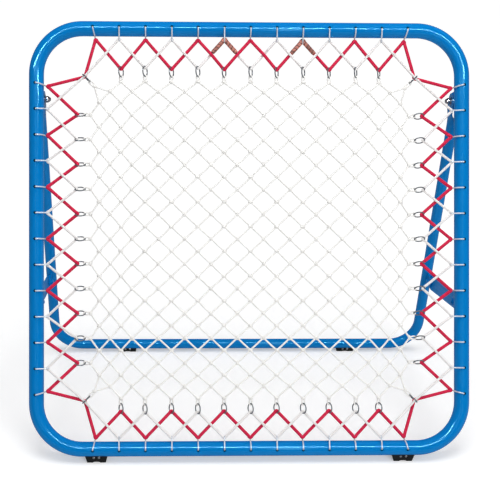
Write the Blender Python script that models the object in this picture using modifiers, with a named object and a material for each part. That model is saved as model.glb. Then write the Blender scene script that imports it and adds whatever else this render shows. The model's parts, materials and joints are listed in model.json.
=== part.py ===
"""Tchoukball rebounder: a square hoop of tube, a net slung in it on elastic cords, a leg and two side stays.

Metres, +Z up, the front faces -Y. The origin lies on the floor under the middle of the hoop.

Empties carry the pieces. "hoop_plane" lies at the middle of the hoop: X across, Y up the slope, Z out of
its front. "rear_leg_hinge" lies on the hinge: Y up the leg, Z to its front. "stay_pivot_..." lie on the
stays' pivots: Y along the stay to its catch, Z to its upper edge. In all of them a side plate is an outline
in their Y and Z.
"""

import math

import bmesh
import bpy
from mathutils import Matrix, Vector

# Hoop, over its outside
HOOP_WIDTH = 1.000
HOOP_HEIGHT = 0.983
HOOP_INCLINE = math.radians(60.0)
HOOP_BEND_RADIUS = 0.104
HOOP_TUBE_DIAMETER = 0.0337
HOOP_TUBE_WALL = 0.002

# Rear leg
LEG_TUBE_DIAMETER = 0.0254
LEG_TUBE_WALL = 0.0015
LEG_BEND_RADIUS = 0.072
LEG_INSET = 0.00315
LEG_LEAN = math.radians(1.0)
LEG_FOLD = math.radians(22.0)
LEG_END_THICKNESS = 0.003
LEG_END_WIDTH = 0.037
LEG_FLAT_LENGTH = 0.0215
LEG_TAPER_LENGTH = 0.040

# Hinge
HINGE_DOWN = 0.1543
HINGE_LUG_THICKNESS = 0.005
HINGE_LUG_RADIUS = 0.020
LEG_RUNNING_GAP = 0.0005

# Stays
STAY_UP = 0.33135
STAY_WIDTH = 0.038
STAY_THICKNESS = 0.004
STAY_TUBE_GAP = 0.00165
STAY_TIP = 0.013
STAY_LUG_THICKNESS = 0.004
STAY_LUG_RADIUS = 0.016
STAY_SIDE_GAP = 0.0004
CATCH_DOWN = 0.4706
CATCH_REACH = 0.0193
CATCH_LUG_RADIUS = 0.014
NOTCH_GAP = 0.0006

# Fasteners
BOLT_DIAMETER = 0.008
BOLT_HEAD_HEIGHT = 0.0053
NUT_ACROSS_FLATS = 0.013
NUT_HEIGHT = 0.0065
DOME_RADIUS = 0.006
DOME_BORE = 0.002
THREAD_PROUD = 0.002
WASHER_RADIUS = 0.009
WASHER_THICKNESS = 0.0016
RIVET_DIAMETER = 0.004
RIVET_HEAD_RADIUS = 0.0035
RIVET_HEAD_HEIGHT = 0.0016
RIVET_BITE = 0.003
RIVET_SPACING = 0.012

# Feet
FRONT_FOOT_INSET = 0.13515
FRONT_FOOT_WIDTH = 0.052
FRONT_FOOT_DEPTH = 0.030
FRONT_FOOT_RISE = 0.010
FRONT_RIVET_HEIGHT = 0.014
REAR_FOOT_INSET = 0.190
REAR_FOOT_WIDTH = 0.048
REAR_FOOT_DEPTH = 0.022
REAR_FOOT_RISE = 0.0053
REAR_RIVET_HEIGHT = 0.008
FOOT_TAPER = 0.0045
FOOT_ARCH_WIDTH = 0.012
FOOT_ARCH_HEIGHT = 0.0025

# Hooks
HOOKS_EACH_WAY = 6
HOOK_PITCH_X = 0.0593
HOOK_PITCH_Y = 0.0583
HOOK_WIRE_DIAMETER = 0.003
HOOK_IN_TUBE = 0.008
HOOK_HOLE_GAP = 0.0004
HOOK_BEND_ANGLE = math.radians(30.0)
HOOK_LIFT = 0.0009
HOOK_WELD_DEPTH = 0.0013

# Cords
CORD_DIAMETER = 0.0062
CORD_AT_HOOK = 0.008
CORD_BEND_FLAT = 0.005
CORD_SPACING = 0.0066
TAPE_DIAMETER = 0.010
TAPE_ARM = 0.040
TAPE_GAP = 0.0004

# Net and its rings
NET_FORWARD = 0.006
NET_TWINE = 0.003
NET_HALF_ROWS = 13
NET_INNER_COLUMNS = 9
NET_INNER_ROWS = 11
NET_COLUMN_STRETCH = 1.059
NET_ROW_STRETCH = 1.018
NET_INSET = 0.1174
RING_WIRE = 0.0028
RING_BORE = 0.020
RING_INSET_BOTTOM = 0.0916
RING_INSET_SIDES = 0.0990
RING_INSET_TOP = 0.0975
RING_TURN = math.radians(65.0)
CORNER_RING_BORE = 0.020
CORNER_RING_INSET = 0.1126
CORNER_CORD_SHIFT = 0.0048

# Between pieces that touch, and round a bolt in its hole
TOUCH = 0.0003
BOLT_PLAY = 0.0003
WELD = 0.00001

# Worked out from the sizes above
TUBE_R = HOOP_TUBE_DIAMETER / 2
LEG_R = LEG_TUBE_DIAMETER / 2
HALF_W = HOOP_WIDTH / 2 - TUBE_R
HALF_H = HOOP_HEIGHT / 2 - TUBE_R
LEG_HALF = HALF_W - LEG_INSET
BOLT_R = BOLT_DIAMETER / 2
BOLT_HOLE_R = BOLT_R + BOLT_PLAY
RIVET_HOLE_R = RIVET_DIAMETER / 2 + TOUCH
CORD_R = CORD_DIAMETER / 2

# A ring's wire is three-sided, flat inside, so its middle lies a quarter of its thickness from the bore
RING_R = RING_BORE / 2 + RING_WIRE / 4
CORNER_RING_R = CORNER_RING_BORE / 2 + RING_WIRE / 4

HOOP_TUBE_Z = FRONT_FOOT_RISE + TUBE_R
REAR_BAR_Z = REAR_FOOT_RISE + LEG_R
FRONT_FOOT_X = HALF_W - FRONT_FOOT_INSET
REAR_FOOT_X = LEG_HALF - REAR_FOOT_INSET
HOOP_PLACE = Matrix.Translation((0, 0, HOOP_TUBE_Z + HALF_H * math.sin(HOOP_INCLINE)))
HOOP_MATRIX = HOOP_PLACE @ Matrix.Rotation(HOOP_INCLINE, 4, "X")

HINGE_DEPTH = TUBE_R + LEG_R + LEG_RUNNING_GAP
HINGE_LOCAL = Vector((0, HALF_H - HINGE_DOWN, -HINGE_DEPTH))
HINGE_WORLD = HOOP_MATRIX @ HINGE_LOCAL
LEG_TURN = math.pi / 2 + LEG_LEAN
LEG_MATRIX = Matrix.Translation(HINGE_WORLD) @ Matrix.Rotation(LEG_TURN, 4, "X")
LEG_LENGTH = (HINGE_WORLD.z - REAR_BAR_Z) / math.cos(LEG_LEAN)

STAY_LOCAL = Vector((0, STAY_UP - HALF_H, -(TUBE_R + STAY_WIDTH / 2 + STAY_TUBE_GAP)))
STAY_WORLD = HOOP_MATRIX @ STAY_LOCAL
CATCH_LOCAL = Vector((0, -CATCH_DOWN, LEG_R + CATCH_REACH))
CATCH_WORLD = LEG_MATRIX @ CATCH_LOCAL
STAY_RUN = CATCH_WORLD - STAY_WORLD
STAY_LENGTH = STAY_RUN.length
STAY_TURN = math.atan2(STAY_RUN.z, STAY_RUN.y)
STAY_FOLD = STAY_TURN + math.pi - HOOP_INCLINE

# Distances from the middle plane of what is stacked at the hinge, from the inside out
LEG_END_IN = LEG_HALF - LEG_R + TOUCH
LEG_END_OUT = LEG_END_IN + LEG_END_THICKNESS
HINGE_LUG_IN = LEG_END_OUT + TOUCH
HINGE_HEAD_IN = HINGE_LUG_IN + HINGE_LUG_THICKNESS + TOUCH
WASHER_OUT = LEG_END_IN - TOUCH
DOME_NUT_OUT = WASHER_OUT - WASHER_THICKNESS - TOUCH

# The same for the stays
STAY_LUG_IN = LEG_HALF - STAY_LUG_THICKNESS / 2
STAY_IN = LEG_HALF + STAY_LUG_THICKNESS / 2 + STAY_SIDE_GAP
STAY_OUT = STAY_IN + STAY_THICKNESS
STAY_HEAD_IN = STAY_OUT + TOUCH
STAY_NUT_OUT = STAY_LUG_IN - TOUCH

RED_FORWARD = NET_FORWARD - CORD_SPACING / 2
WHITE_FORWARD = NET_FORWARD + CORD_SPACING / 2
CORD_HOOK_IN = TUBE_R + CORD_AT_HOOK
CORD_OFF_RING = (RING_BORE - CORD_DIAMETER) / 2 - 2 * TOUCH
HOOK_REACH = TUBE_R + HOOK_WIRE_DIAMETER / 2 + HOOK_LIFT

# The rings' distance from the tube, by side: bottom, right, top, left
RING_INSETS = (RING_INSET_BOTTOM, RING_INSET_SIDES, RING_INSET_TOP, RING_INSET_SIDES)

# Which hook of the top side carries the tape over each cord's join
TOP_SIDE = 2
RED_TAPE_STATION = -2
WHITE_TAPE_STATION = 1

SIDEWAYS_PLATE = (math.pi / 2, 0, math.pi / 2)
LEFT, RIGHT = -1, 1
SIDE_NAMES = {LEFT: "left", RIGHT: "right"}


for old in list(bpy.data.objects):
    bpy.data.objects.remove(old, do_unlink=True)

PARTS = bpy.data.collections.new("tchoukball_rebounder")
CUTTERS = bpy.data.collections.new("cutters")
for collection in (PARTS, CUTTERS):
    bpy.context.scene.collection.children.link(collection)


def finish(name, colour, roughness, metallic=0.0):
    """A material with this colour, roughness and metallic value."""
    material = bpy.data.materials.new(name)
    material.use_nodes = True
    shader = material.node_tree.nodes["Principled BSDF"]
    shader.inputs["Base Color"].default_value = (*colour, 1.0)
    shader.inputs["Roughness"].default_value = roughness
    shader.inputs["Metallic"].default_value = metallic
    return material


BLUE_PAINT = finish("blue_paint", (0.0, 0.18, 0.62), 0.28)
PLATE_PAINT = finish("plate_paint", (0.04, 0.16, 0.38), 0.35)
ZINC = finish("zinc", (0.62, 0.64, 0.66), 0.30, 1.0)
CHROME = finish("chrome", (0.80, 0.80, 0.82), 0.12, 1.0)
RED_CORD = finish("red_cord", (0.60, 0.02, 0.07), 0.70)
WHITE_CORD = finish("white_cord", (0.86, 0.84, 0.80), 0.75)
BROWN_TAPE = finish("brown_tape", (0.42, 0.17, 0.12), 0.55)
NET_TWINE_WHITE = finish("net_twine", (0.80, 0.79, 0.75), 0.85)
BLACK_RUBBER = finish("black_rubber", (0.015, 0.015, 0.017), 0.65)


def add(name, data, material=None, parent=None, location=(0, 0, 0), rotation=(0, 0, 0)):
    """Add one part, or an empty where there is no data, in its place under its parent."""
    obj = bpy.data.objects.new(name, data)
    PARTS.objects.link(obj)
    obj.parent = parent
    obj.location = location
    obj.rotation_euler = rotation
    if material:
        data.materials.append(material)
        data.shade_smooth()
        data.set_sharp_from_angle(angle=math.radians(32))
    return obj


def combine(obj, operation, name, data, parent=None, location=(0, 0, 0), rotation=(0, 0, 0)):
    """Cut this mesh out of a part, or join it on, by a Boolean with a hidden object."""
    other = bpy.data.objects.new(f"{obj.name}_{name}", data)
    CUTTERS.objects.link(other)
    other.parent = parent
    other.location = location
    other.rotation_euler = rotation
    other.hide_render = True
    other.display_type = "WIRE"
    step = obj.modifiers.new(name, "BOOLEAN")
    step.operation = operation
    step.object = other


def mesh_of_curve(curve):
    """The closed mesh of a curve, with its caps welded on."""
    guide = bpy.data.objects.new(curve.name, curve)
    CUTTERS.objects.link(guide)
    evaluated = guide.evaluated_get(bpy.context.evaluated_depsgraph_get())
    mesh = bpy.data.meshes.new_from_object(evaluated)
    bpy.data.objects.remove(guide)
    shape = bmesh.new()
    shape.from_mesh(mesh)
    bmesh.ops.remove_doubles(shape, verts=shape.verts, dist=WELD)
    bmesh.ops.recalc_face_normals(shape, faces=shape.faces)
    shape.to_mesh(mesh)
    shape.free()
    return mesh


def add_spline(curve, points, cyclic):
    """A spline of straight runs through these points."""
    spline = curve.splines.new("POLY")
    spline.points.add(len(points) - 1)
    for place, point in zip(spline.points, points):
        place.co = (*Vector(point).to_3d(), 1.0)
    spline.use_cyclic_u = cyclic


def tube(name, points, radius, sides, cyclic=False):
    """A round bar along these points."""
    curve = bpy.data.curves.new(name, "CURVE")
    curve.dimensions = "3D"
    curve.bevel_depth = radius
    curve.bevel_resolution = (sides - 4) // 2
    curve.use_fill_caps = not cyclic
    add_spline(curve, points, cyclic)
    return mesh_of_curve(curve)


def plate(name, outlines, thickness):
    """A flat plate of this thickness: the first outline is its edge, the others are holes."""
    curve = bpy.data.curves.new(name, "CURVE")
    curve.dimensions = "2D"
    curve.fill_mode = "BOTH"
    curve.extrude = thickness / 2
    for outline in outlines:
        add_spline(curve, outline, True)
    return mesh_of_curve(curve)


def rod(radius, start, end, segments=12):
    """A cylinder round local Z from start to end."""
    shape = bmesh.new()
    middle = Matrix.Translation((0, 0, (start + end) / 2))
    bmesh.ops.create_cone(
        shape, cap_ends=True, segments=segments, radius1=radius, radius2=radius, depth=end - start,
        matrix=middle
    )
    mesh = bpy.data.meshes.new("rod")
    shape.to_mesh(mesh)
    shape.free()
    return mesh


def hexagon(start, end):
    """A hexagonal prism round local Z, of the nuts' size across its flats."""
    return rod(NUT_ACROSS_FLATS / math.sqrt(3), start, end, segments=6)


def bore(radius, start, end, segments=12):
    """A rod whose flats, not its corners, lie at this radius, to cut a hole of that size."""
    return rod(radius / math.cos(math.pi / segments), start, end, segments)


def ball(radius, centre):
    """A sphere on local Z."""
    shape = bmesh.new()
    place = Matrix.Translation((0, 0, centre))
    bmesh.ops.create_uvsphere(shape, u_segments=12, v_segments=6, radius=radius, matrix=place)
    mesh = bpy.data.meshes.new("ball")
    shape.to_mesh(mesh)
    shape.free()
    return mesh


def copies(name, mesh, matrices):
    """One mesh that holds this one once at each of these places."""
    shape = bmesh.new()
    for matrix in matrices:
        shape.from_mesh(mesh)
        bmesh.ops.transform(shape, matrix=matrix, verts=shape.verts[-len(mesh.vertices):])
    result = bpy.data.meshes.new(name)
    shape.to_mesh(result)
    shape.free()
    return result


def arc(centre, radius, start, end, steps):
    """Points along an arc, its ends among them."""
    angles = (start + (end - start) * step / steps for step in range(steps + 1))
    return [(centre[0] + radius * math.cos(a), centre[1] + radius * math.sin(a)) for a in angles]


def circle(centre, radius, steps=12):
    """Points round a hole of this radius, its flats at that radius."""
    return arc(centre, radius / math.cos(math.pi / steps), 0, 2 * math.pi, steps)[:-1]


def stadium(length, radius, steps=6):
    """The outline of a bar with round ends, from the first end's centre along +X."""
    far = arc((length, 0), radius, -math.pi / 2, math.pi / 2, steps)
    return far + arc((0, 0), radius, math.pi / 2, 3 * math.pi / 2, steps)


def hoop_corner(half_width, half_height, radius, steps=6):
    """The centre line of a tube bent to a rectangle with round corners."""
    points = []
    for quarter, (x, y) in enumerate(((1, 1), (-1, 1), (-1, -1), (1, -1))):
        centre = (x * (half_width - radius), y * (half_height - radius))
        start = quarter * math.pi / 2
        points += arc(centre, radius, start, start + math.pi / 2, steps)
    return points


def side_place(side, along=0.0, inward=0.0):
    """A place on one side of the hoop: 0 bottom, 1 right, 2 top, 3 left. Local +Y points into the hoop."""
    half = HALF_W if side % 2 else HALF_H
    return Matrix.Rotation(side * math.pi / 2, 4, "Z") @ Matrix.Translation((along, inward - half, 0))


def hook_pitch(side):
    """The distance between hooks on this side."""
    return HOOK_PITCH_Y if side % 2 else HOOK_PITCH_X


def net_line(index, half, inner_lines, stretch):
    """The distance of a line of knots from the middle: even in the net's inner part, closer at its edge."""
    step = half / NET_HALF_ROWS * stretch
    outer = max(0, abs(index) - inner_lines) * (half - step * inner_lines) / (NET_HALF_ROWS - inner_lines)
    return math.copysign(step * min(abs(index), inner_lines) + outer, index)


def column_x(index):
    """The X of a column of knots, in the hoop's plane."""
    return net_line(index, HALF_W - NET_INSET, NET_INNER_COLUMNS, NET_COLUMN_STRETCH)


def row_y(index):
    """The Y of a row of knots, in the hoop's plane."""
    return net_line(index, HALF_H - NET_INSET, NET_INNER_ROWS, NET_ROW_STRETCH)


def ring_along(side, station):
    """Where a ring hangs along its side: in line with its column or row of knots."""
    line = row_y if side % 2 else column_x
    return line(2 * station)


def corner_place(corner, outward=0.0, around=0.0):
    """A place at a corner ring, the corner after this side: local +X points out along the diagonal."""
    x, y = ((1, -1), (1, 1), (-1, 1), (-1, -1))[corner]
    centre = Vector((x * (HALF_W - CORNER_RING_INSET), y * (HALF_H - CORNER_RING_INSET), 0))
    diagonal = Matrix.Rotation(corner * math.pi / 2 - math.pi / 4, 4, "Z")
    return Matrix.Translation(centre) @ diagonal @ Matrix.Translation((outward, around, 0))


def is_red(station):
    """True at the stations whose hooks hold the red cord."""
    return station % 2 == 0


def cord_bend(side, station, red):
    """The middle of a cord's bend: out at its own colour's hooks, in at the rings between them."""
    if is_red(station) == red:
        return side_place(side, station * hook_pitch(side), CORD_HOOK_IN)
    return side_place(side, ring_along(side, station), RING_INSETS[side] - CORD_OFF_RING)


def cord_route(red):
    """The centre line of a cord, once round the four sides of the hoop, in the hoop's plane."""
    flat = Vector((CORD_BEND_FLAT / 2, 0, 0))
    turn = Vector((0, CORD_BEND_FLAT / 2, 0))
    last = HOOKS_EACH_WAY if red else HOOKS_EACH_WAY - 1
    points = []
    for side in range(4):
        for station in range(-last, last + 1):
            bend = cord_bend(side, station, red)
            points += [bend @ -flat, bend @ flat]
        corner = corner_place(side, outward=CORNER_CORD_SHIFT)
        points += [corner @ -turn, corner @ turn]
    return [point + Vector((0, 0, cord_forward(red))) for point in points]


def cord_forward(red):
    """How far a cord lies in front of the hoop's middle plane."""
    return RED_FORWARD if red else WHITE_FORWARD


def hook_wire(name, red, held_radius):
    """One open hook: out of the tube's hole, over the tube, over the cord's front and round behind it."""
    forward = cord_forward(red)
    grip = held_radius + HOOK_WIRE_DIAMETER / 2 - HOOK_WELD_DEPTH
    bend_y = HOOK_REACH * math.sin(HOOK_BEND_ANGLE)
    bend_z = HOOK_REACH * math.cos(HOOK_BEND_ANGLE)
    route = (
        (0, 0, TUBE_R - HOOK_IN_TUBE),
        (0, 0, HOOK_REACH + TOUCH),
        (0, bend_y, bend_z),
        (0, CORD_HOOK_IN, forward + grip),
        (0, CORD_HOOK_IN + grip, forward),
        (0, CORD_HOOK_IN, forward - grip),
    )
    return tube(name, route, HOOK_WIRE_DIAMETER / 2, sides=4)


def tape_station(red):
    """The side and station whose hook holds the taped join of a cord."""
    return TOP_SIDE, RED_TAPE_STATION if red else WHITE_TAPE_STATION


def hook_places(red):
    """Where the hooks of one cord go through the tube, without the hook at its tape."""
    stations = range(-HOOKS_EACH_WAY, HOOKS_EACH_WAY + 1)
    spots = [(side, station) for side in range(4) for station in stations if is_red(station) == red]
    taped = tape_station(red)
    return [side_place(side, station * hook_pitch(side)) for side, station in spots if (side, station) != taped]


def add_cord(hoop, red):
    """A whole cord with the hooks that hold it."""
    colour = "red" if red else "white"
    mesh = tube("cord", cord_route(red), CORD_R, sides=4, cyclic=True)
    cord = add(f"{colour}_cord_with_hooks", mesh, RED_CORD if red else WHITE_CORD, hoop)
    hooks = copies("hooks", hook_wire("hook", red, CORD_R), hook_places(red))
    combine(cord, "UNION", "hooks", hooks, hoop)


def add_tape(hoop, red):
    """The tape round a cord's join, with the hook that holds it there."""
    colour = "red" if red else "white"
    side, station = tape_station(red)
    bends = [cord_bend(side, station + step, red).translation for step in (-1, 0, 1)]
    across = side_place(side).to_3x3() @ Vector((CORD_BEND_FLAT / 2, 0, 0))
    forward = Vector((0, 0, cord_forward(red)))

    def arms(length):
        """The cord's route at the join, this far down each arm."""
        middle = [bends[1] - across, bends[1] + across]
        ends = [bends[0] + across, bends[2] - across]
        reach = [here + (end - here).normalized() * length for here, end in zip(middle, ends)]
        return [point + forward for point in (reach[0], *middle, reach[1])]

    sleeve = tube("tape", arms(TAPE_ARM), TAPE_DIAMETER / 2, 8)
    tape = add(f"{colour}_cord_tape", sleeve, BROWN_TAPE, hoop)
    hook = hook_wire("hook", red, TAPE_DIAMETER / 2)
    combine(tape, "UNION", "hook", copies("hook", hook, [side_place(side, station * hook_pitch(side))]), hoop)
    inside = (CORD_R + TAPE_GAP) / math.cos(math.pi / 12)
    combine(tape, "DIFFERENCE", "cord_space", tube("space", arms(TAPE_ARM + CORD_R), inside, 12), hoop)


def knot(i, j):
    """A knot of the net, by its column and row from one corner. The edge knots reach their rings."""
    column, row = i - NET_HALF_ROWS, j - NET_HALF_ROWS
    place = Vector((column_x(column), row_y(row), NET_FORWARD))
    if abs(row) == NET_HALF_ROWS:
        inset = RING_INSET_TOP if row > 0 else RING_INSET_BOTTOM
        place.y = math.copysign(HALF_H - inset - RING_R, row)
        place.z = cord_forward(not is_red(column // 2))
    if abs(column) == NET_HALF_ROWS:
        place.x = math.copysign(HALF_W - RING_INSET_SIDES - RING_R, column)
        place.z = cord_forward(not is_red(row // 2))
    if min(abs(row), abs(column)) == NET_HALF_ROWS - 1 and max(abs(row), abs(column)) == NET_HALF_ROWS:
        right, top = column > 0, row > 0
        corner = {(True, False): 0, (True, True): 1, (False, True): 2, (False, False): 3}[right, top]
        place = corner_place(corner, outward=-CORNER_RING_R) @ Vector((0, 0, NET_FORWARD))
    return place


def net_faces():
    """The meshes of the net as flat diamonds, with three-sided ones in the corners."""
    shape = bmesh.new()
    last = 2 * NET_HALF_ROWS
    for i in range(1, last):
        for j in range(1, last):
            if (i + j) % 2 == 0:
                corners = (knot(i - 1, j), knot(i, j - 1), knot(i + 1, j), knot(i, j + 1))
                points = [p for n, p in enumerate(corners) if (p - corners[n - 1]).length > WELD]
                shape.faces.new([shape.verts.new(point) for point in points])
    bmesh.ops.remove_doubles(shape, verts=shape.verts, dist=WELD)
    mesh = bpy.data.meshes.new("net")
    shape.to_mesh(mesh)
    shape.free()
    return mesh


def ring_mesh(radius):
    """One wire ring round local Z."""
    bpy.ops.mesh.primitive_torus_add(
        major_segments=8, minor_segments=3, major_radius=radius, minor_radius=RING_WIRE / 2
    )
    ring = bpy.context.active_object
    mesh = ring.data
    bpy.data.objects.remove(ring)
    return mesh


def ring_places():
    """Where the rings of the four sides hang, each turned on its cord."""
    turn = Matrix.Rotation(-RING_TURN, 4, "Y")
    places = []
    for side in range(4):
        for station in range(1 - HOOKS_EACH_WAY, HOOKS_EACH_WAY):
            forward = Matrix.Translation((0, 0, cord_forward(not is_red(station))))
            place = side_place(side, ring_along(side, station), RING_INSETS[side])
            places.append(forward @ place @ turn)
    return places


def add_net(hoop):
    """The net with the rings that its edge is tied to."""
    net = add("net_with_rings", net_faces(), NET_TWINE_WHITE, hoop)
    twine = net.modifiers.new("twine", "WIREFRAME")
    twine.thickness = NET_TWINE
    twine.use_boundary = True
    combine(net, "UNION", "side_rings", copies("side_rings", ring_mesh(RING_R), ring_places()), hoop)
    upright = Matrix.Translation((0, 0, NET_FORWARD)) @ Matrix.Rotation(math.pi / 2, 4, "X")
    corners = [corner_place(corner) @ upright for corner in range(4)]
    combine(net, "UNION", "corner_rings", copies("corner_rings", ring_mesh(CORNER_RING_R), corners), hoop)


def add_hoop(hoop):
    """The hoop's tube: hollow, with a hole in its front for every hook and below for every rivet."""
    centre_line = hoop_corner(HALF_W, HALF_H, HOOP_BEND_RADIUS)
    body = add("main_frame_tube", tube("tube", centre_line, TUBE_R, 12, cyclic=True), BLUE_PAINT, hoop)
    inside = tube("bore", centre_line, TUBE_R - HOOP_TUBE_WALL, 8, cyclic=True)
    combine(body, "DIFFERENCE", "inside", inside, hoop)
    hole_radius = HOOK_WIRE_DIAMETER / 2 + HOOK_HOLE_GAP
    hole = bore(hole_radius, TUBE_R / 2, TUBE_R + hole_radius, segments=4)
    stations = range(-HOOKS_EACH_WAY, HOOKS_EACH_WAY + 1)
    places = [side_place(side, station * hook_pitch(side)) for side in range(4) for station in stations]
    square = Matrix.Rotation(math.pi / 4, 4, "Z")
    holes = copies("hook_holes", hole, [place @ square for place in places])
    combine(body, "DIFFERENCE", "hook_holes", holes, hoop)
    rivet_holes = copies("rivet_holes", rivet_bore(TUBE_R), front_rivet_places())
    combine(body, "DIFFERENCE", "rivet_holes", rivet_holes)


def rivet_bore(reach):
    """A hole for a rivet, from its head's seat inward, this deep."""
    return bore(RIVET_HOLE_R, -reach, reach / 2, segments=8)


def rivet_places(foot_x, foot_y, depth, height):
    """The seats of a pair of feet's rivets, on the feet's front: local Z points out of the front."""
    face = Matrix.Rotation(math.pi / 2, 4, "X")
    xs = [side * foot_x + step * RIVET_SPACING / 2 for side in (LEFT, RIGHT) for step in (LEFT, RIGHT)]
    return [Matrix.Translation((x, foot_y - depth / 2, height)) @ face for x in xs]


def front_rivet_places():
    """The seats of the front feet's rivets."""
    bar_y = -HALF_H * math.cos(HOOP_INCLINE)
    return rivet_places(FRONT_FOOT_X, bar_y, FRONT_FOOT_DEPTH, FRONT_RIVET_HEIGHT)


def rear_rivet_places():
    """The seats of the rear feet's rivets."""
    bar_y = (LEG_MATRIX @ Vector((0, -LEG_LENGTH, 0))).y
    return rivet_places(REAR_FOOT_X, bar_y, REAR_FOOT_DEPTH, REAR_RIVET_HEIGHT)


def under(parent, matrix):
    """The location and rotation that put an object at this world place under its parent."""
    local = parent.inverted() @ matrix if parent else matrix
    return local.translation, local.to_euler()


def add_rivets(end, places, tube_depth, parent, parent_matrix):
    """The domed rivets of one pair of feet, each turned from its profile."""
    head, shank = RIVET_HEAD_RADIUS, RIVET_DIAMETER / 2
    tail = -tube_depth - RIVET_BITE
    profile = (
        (0, TOUCH + RIVET_HEAD_HEIGHT),
        (head * 0.6, TOUCH + RIVET_HEAD_HEIGHT * 0.8),
        (head, TOUCH + RIVET_HEAD_HEIGHT * 0.2),
        (head, TOUCH),
        (shank, TOUCH),
        (shank, tail),
        (0, tail),
    )
    for index, place in enumerate(places):
        mesh = bpy.data.meshes.new("rivet")
        edges = [(n, n + 1) for n in range(len(profile) - 1)]
        mesh.from_pydata([(x, 0, z) for x, z in profile], edges, [])
        side = "left" if index < 2 else "right"
        location, rotation = under(parent_matrix, place)
        rivet = add(f"{end}_foot_{side}_rivet_{index % 2 + 1}", mesh, ZINC, parent, location, rotation)
        turn = rivet.modifiers.new("turn", "SCREW")
        turn.steps = turn.render_steps = 8
        turn.use_merge_vertices = True
        turn.merge_threshold = WELD


def add_feet(end, foot_x, bar_y, bar_z, bar_radius, width, depth, rivets, parent, parent_matrix):
    """A pair of moulded feet: each a saddle under its bar that stands on two lobes."""
    half, arch = width / 2, FOOT_ARCH_WIDTH / 2
    low, top = half - FOOT_TAPER, bar_z - bar_radius / 3
    right_half = [(arch, FOOT_ARCH_HEIGHT), (arch + FOOT_ARCH_HEIGHT, 0), (low - FOOT_TAPER / 2, 0)]
    right_half += [(low, FOOT_TAPER), (half, top)]
    outline = right_half + [(-x, z) for x, z in reversed(right_half)]
    upright = Matrix.Rotation(math.pi / 2, 4, "X")
    for side in (LEFT, RIGHT):
        place = Matrix.Translation((side * foot_x, bar_y, 0)) @ upright
        location, rotation = under(parent_matrix, place)
        name = f"{end}_foot_{SIDE_NAMES[side]}"
        foot = add(name, plate("foot", [outline], depth), BLACK_RUBBER, parent, location, rotation)
        saddle = bore(bar_radius + TOUCH, -width, width, segments=24)
        across = Matrix.Translation((side * foot_x, bar_y, bar_z)) @ Matrix.Rotation(math.pi / 2, 4, "Y")
        combine(foot, "DIFFERENCE", "saddle", copies("saddle", saddle, [across]))
        combine(foot, "DIFFERENCE", "rivet_holes", copies("rivet_holes", rivet_bore(depth / 2), rivets))


def add_bolt(name, side, head, tail, inward, parent, location):
    """A hexagon-headed bolt along X. Its seat and its shank's end are distances from the middle plane."""
    away = -1 if inward else 1
    start, end = sorted((head, head - away * BOLT_HEAD_HEIGHT))
    turn = (0, side * math.pi / 2, 0)
    bolt = add(name, hexagon(start, end), ZINC, parent, location, turn)
    root, tip = sorted((head - away * BOLT_HEAD_HEIGHT / 2, tail))
    combine(bolt, "UNION", "shank", rod(BOLT_R, root, tip), parent, location, turn)


def add_nut(name, side, start, parent, location):
    """A hexagon nut along X, from this distance outward."""
    turn = (0, side * math.pi / 2, 0)
    nut = add(name, hexagon(start, start + NUT_HEIGHT), ZINC, parent, location, turn)
    thread = bore(BOLT_HOLE_R, start - TOUCH, start + NUT_HEIGHT + TOUCH)
    combine(nut, "DIFFERENCE", "thread", thread, parent, location, turn)


def add_lug(name, side, inner, thickness, radius, reach, front, parent, location, bar):
    """A plate that stands on a tube and carries a bolt: round at the bolt, cut to the tube below."""
    along = arc((0, 0), radius, 0, -math.pi * front, 8)
    outline = along + [(-radius, front * reach), (radius, front * reach)]
    mesh = plate("lug", [outline, circle((0, 0), BOLT_HOLE_R)], thickness)
    middle = Vector((side * (inner + thickness / 2), 0, 0))
    lug = add(name, mesh, PLATE_PAINT, parent, Vector(location) + middle, SIDEWAYS_PLATE)
    bar_x, bar_radius = bar
    carrier = bore(bar_radius + TOUCH, -2 * radius, 2 * radius, segments=24)
    at_bar = (side * bar_x, location[1], 0)
    combine(lug, "DIFFERENCE", "tube", carrier, parent, at_bar, (math.pi / 2, 0, 0))


def add_hinge(hoop, side):
    """What holds the leg's end to the hoop: lug, bolt, washer and dome nut."""
    word = SIDE_NAMES[side]
    spot = tuple(HINGE_LOCAL)
    turn = (0, side * math.pi / 2, 0)
    add_lug(f"hinge_lug_{word}", side, HINGE_LUG_IN, HINGE_LUG_THICKNESS, HINGE_LUG_RADIUS,
            HINGE_DEPTH - TUBE_R / 2, 1, hoop, spot, (HALF_W, TUBE_R))
    dome_base = DOME_NUT_OUT - NUT_HEIGHT
    bore_end = dome_base - DOME_BORE
    add_bolt(f"hinge_bolt_{word}", side, HINGE_HEAD_IN, bore_end + TOUCH, True, hoop, spot)
    disc = rod(WASHER_RADIUS, WASHER_OUT - WASHER_THICKNESS, WASHER_OUT, 16)
    washer = add(f"hinge_washer_{word}", disc, ZINC, hoop, spot, turn)
    hole = bore(BOLT_HOLE_R, WASHER_OUT - 2 * WASHER_THICKNESS, WASHER_OUT + TOUCH)
    combine(washer, "DIFFERENCE", "hole", hole, hoop, spot, turn)
    nut = add(f"hinge_dome_nut_{word}", hexagon(dome_base, DOME_NUT_OUT), CHROME, hoop, spot, turn)
    combine(nut, "UNION", "dome", ball(DOME_RADIUS, dome_base), hoop, spot, turn)
    thread = bore(BOLT_HOLE_R, bore_end, DOME_NUT_OUT + TOUCH)
    combine(nut, "DIFFERENCE", "thread", thread, hoop, spot, turn)


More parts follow.
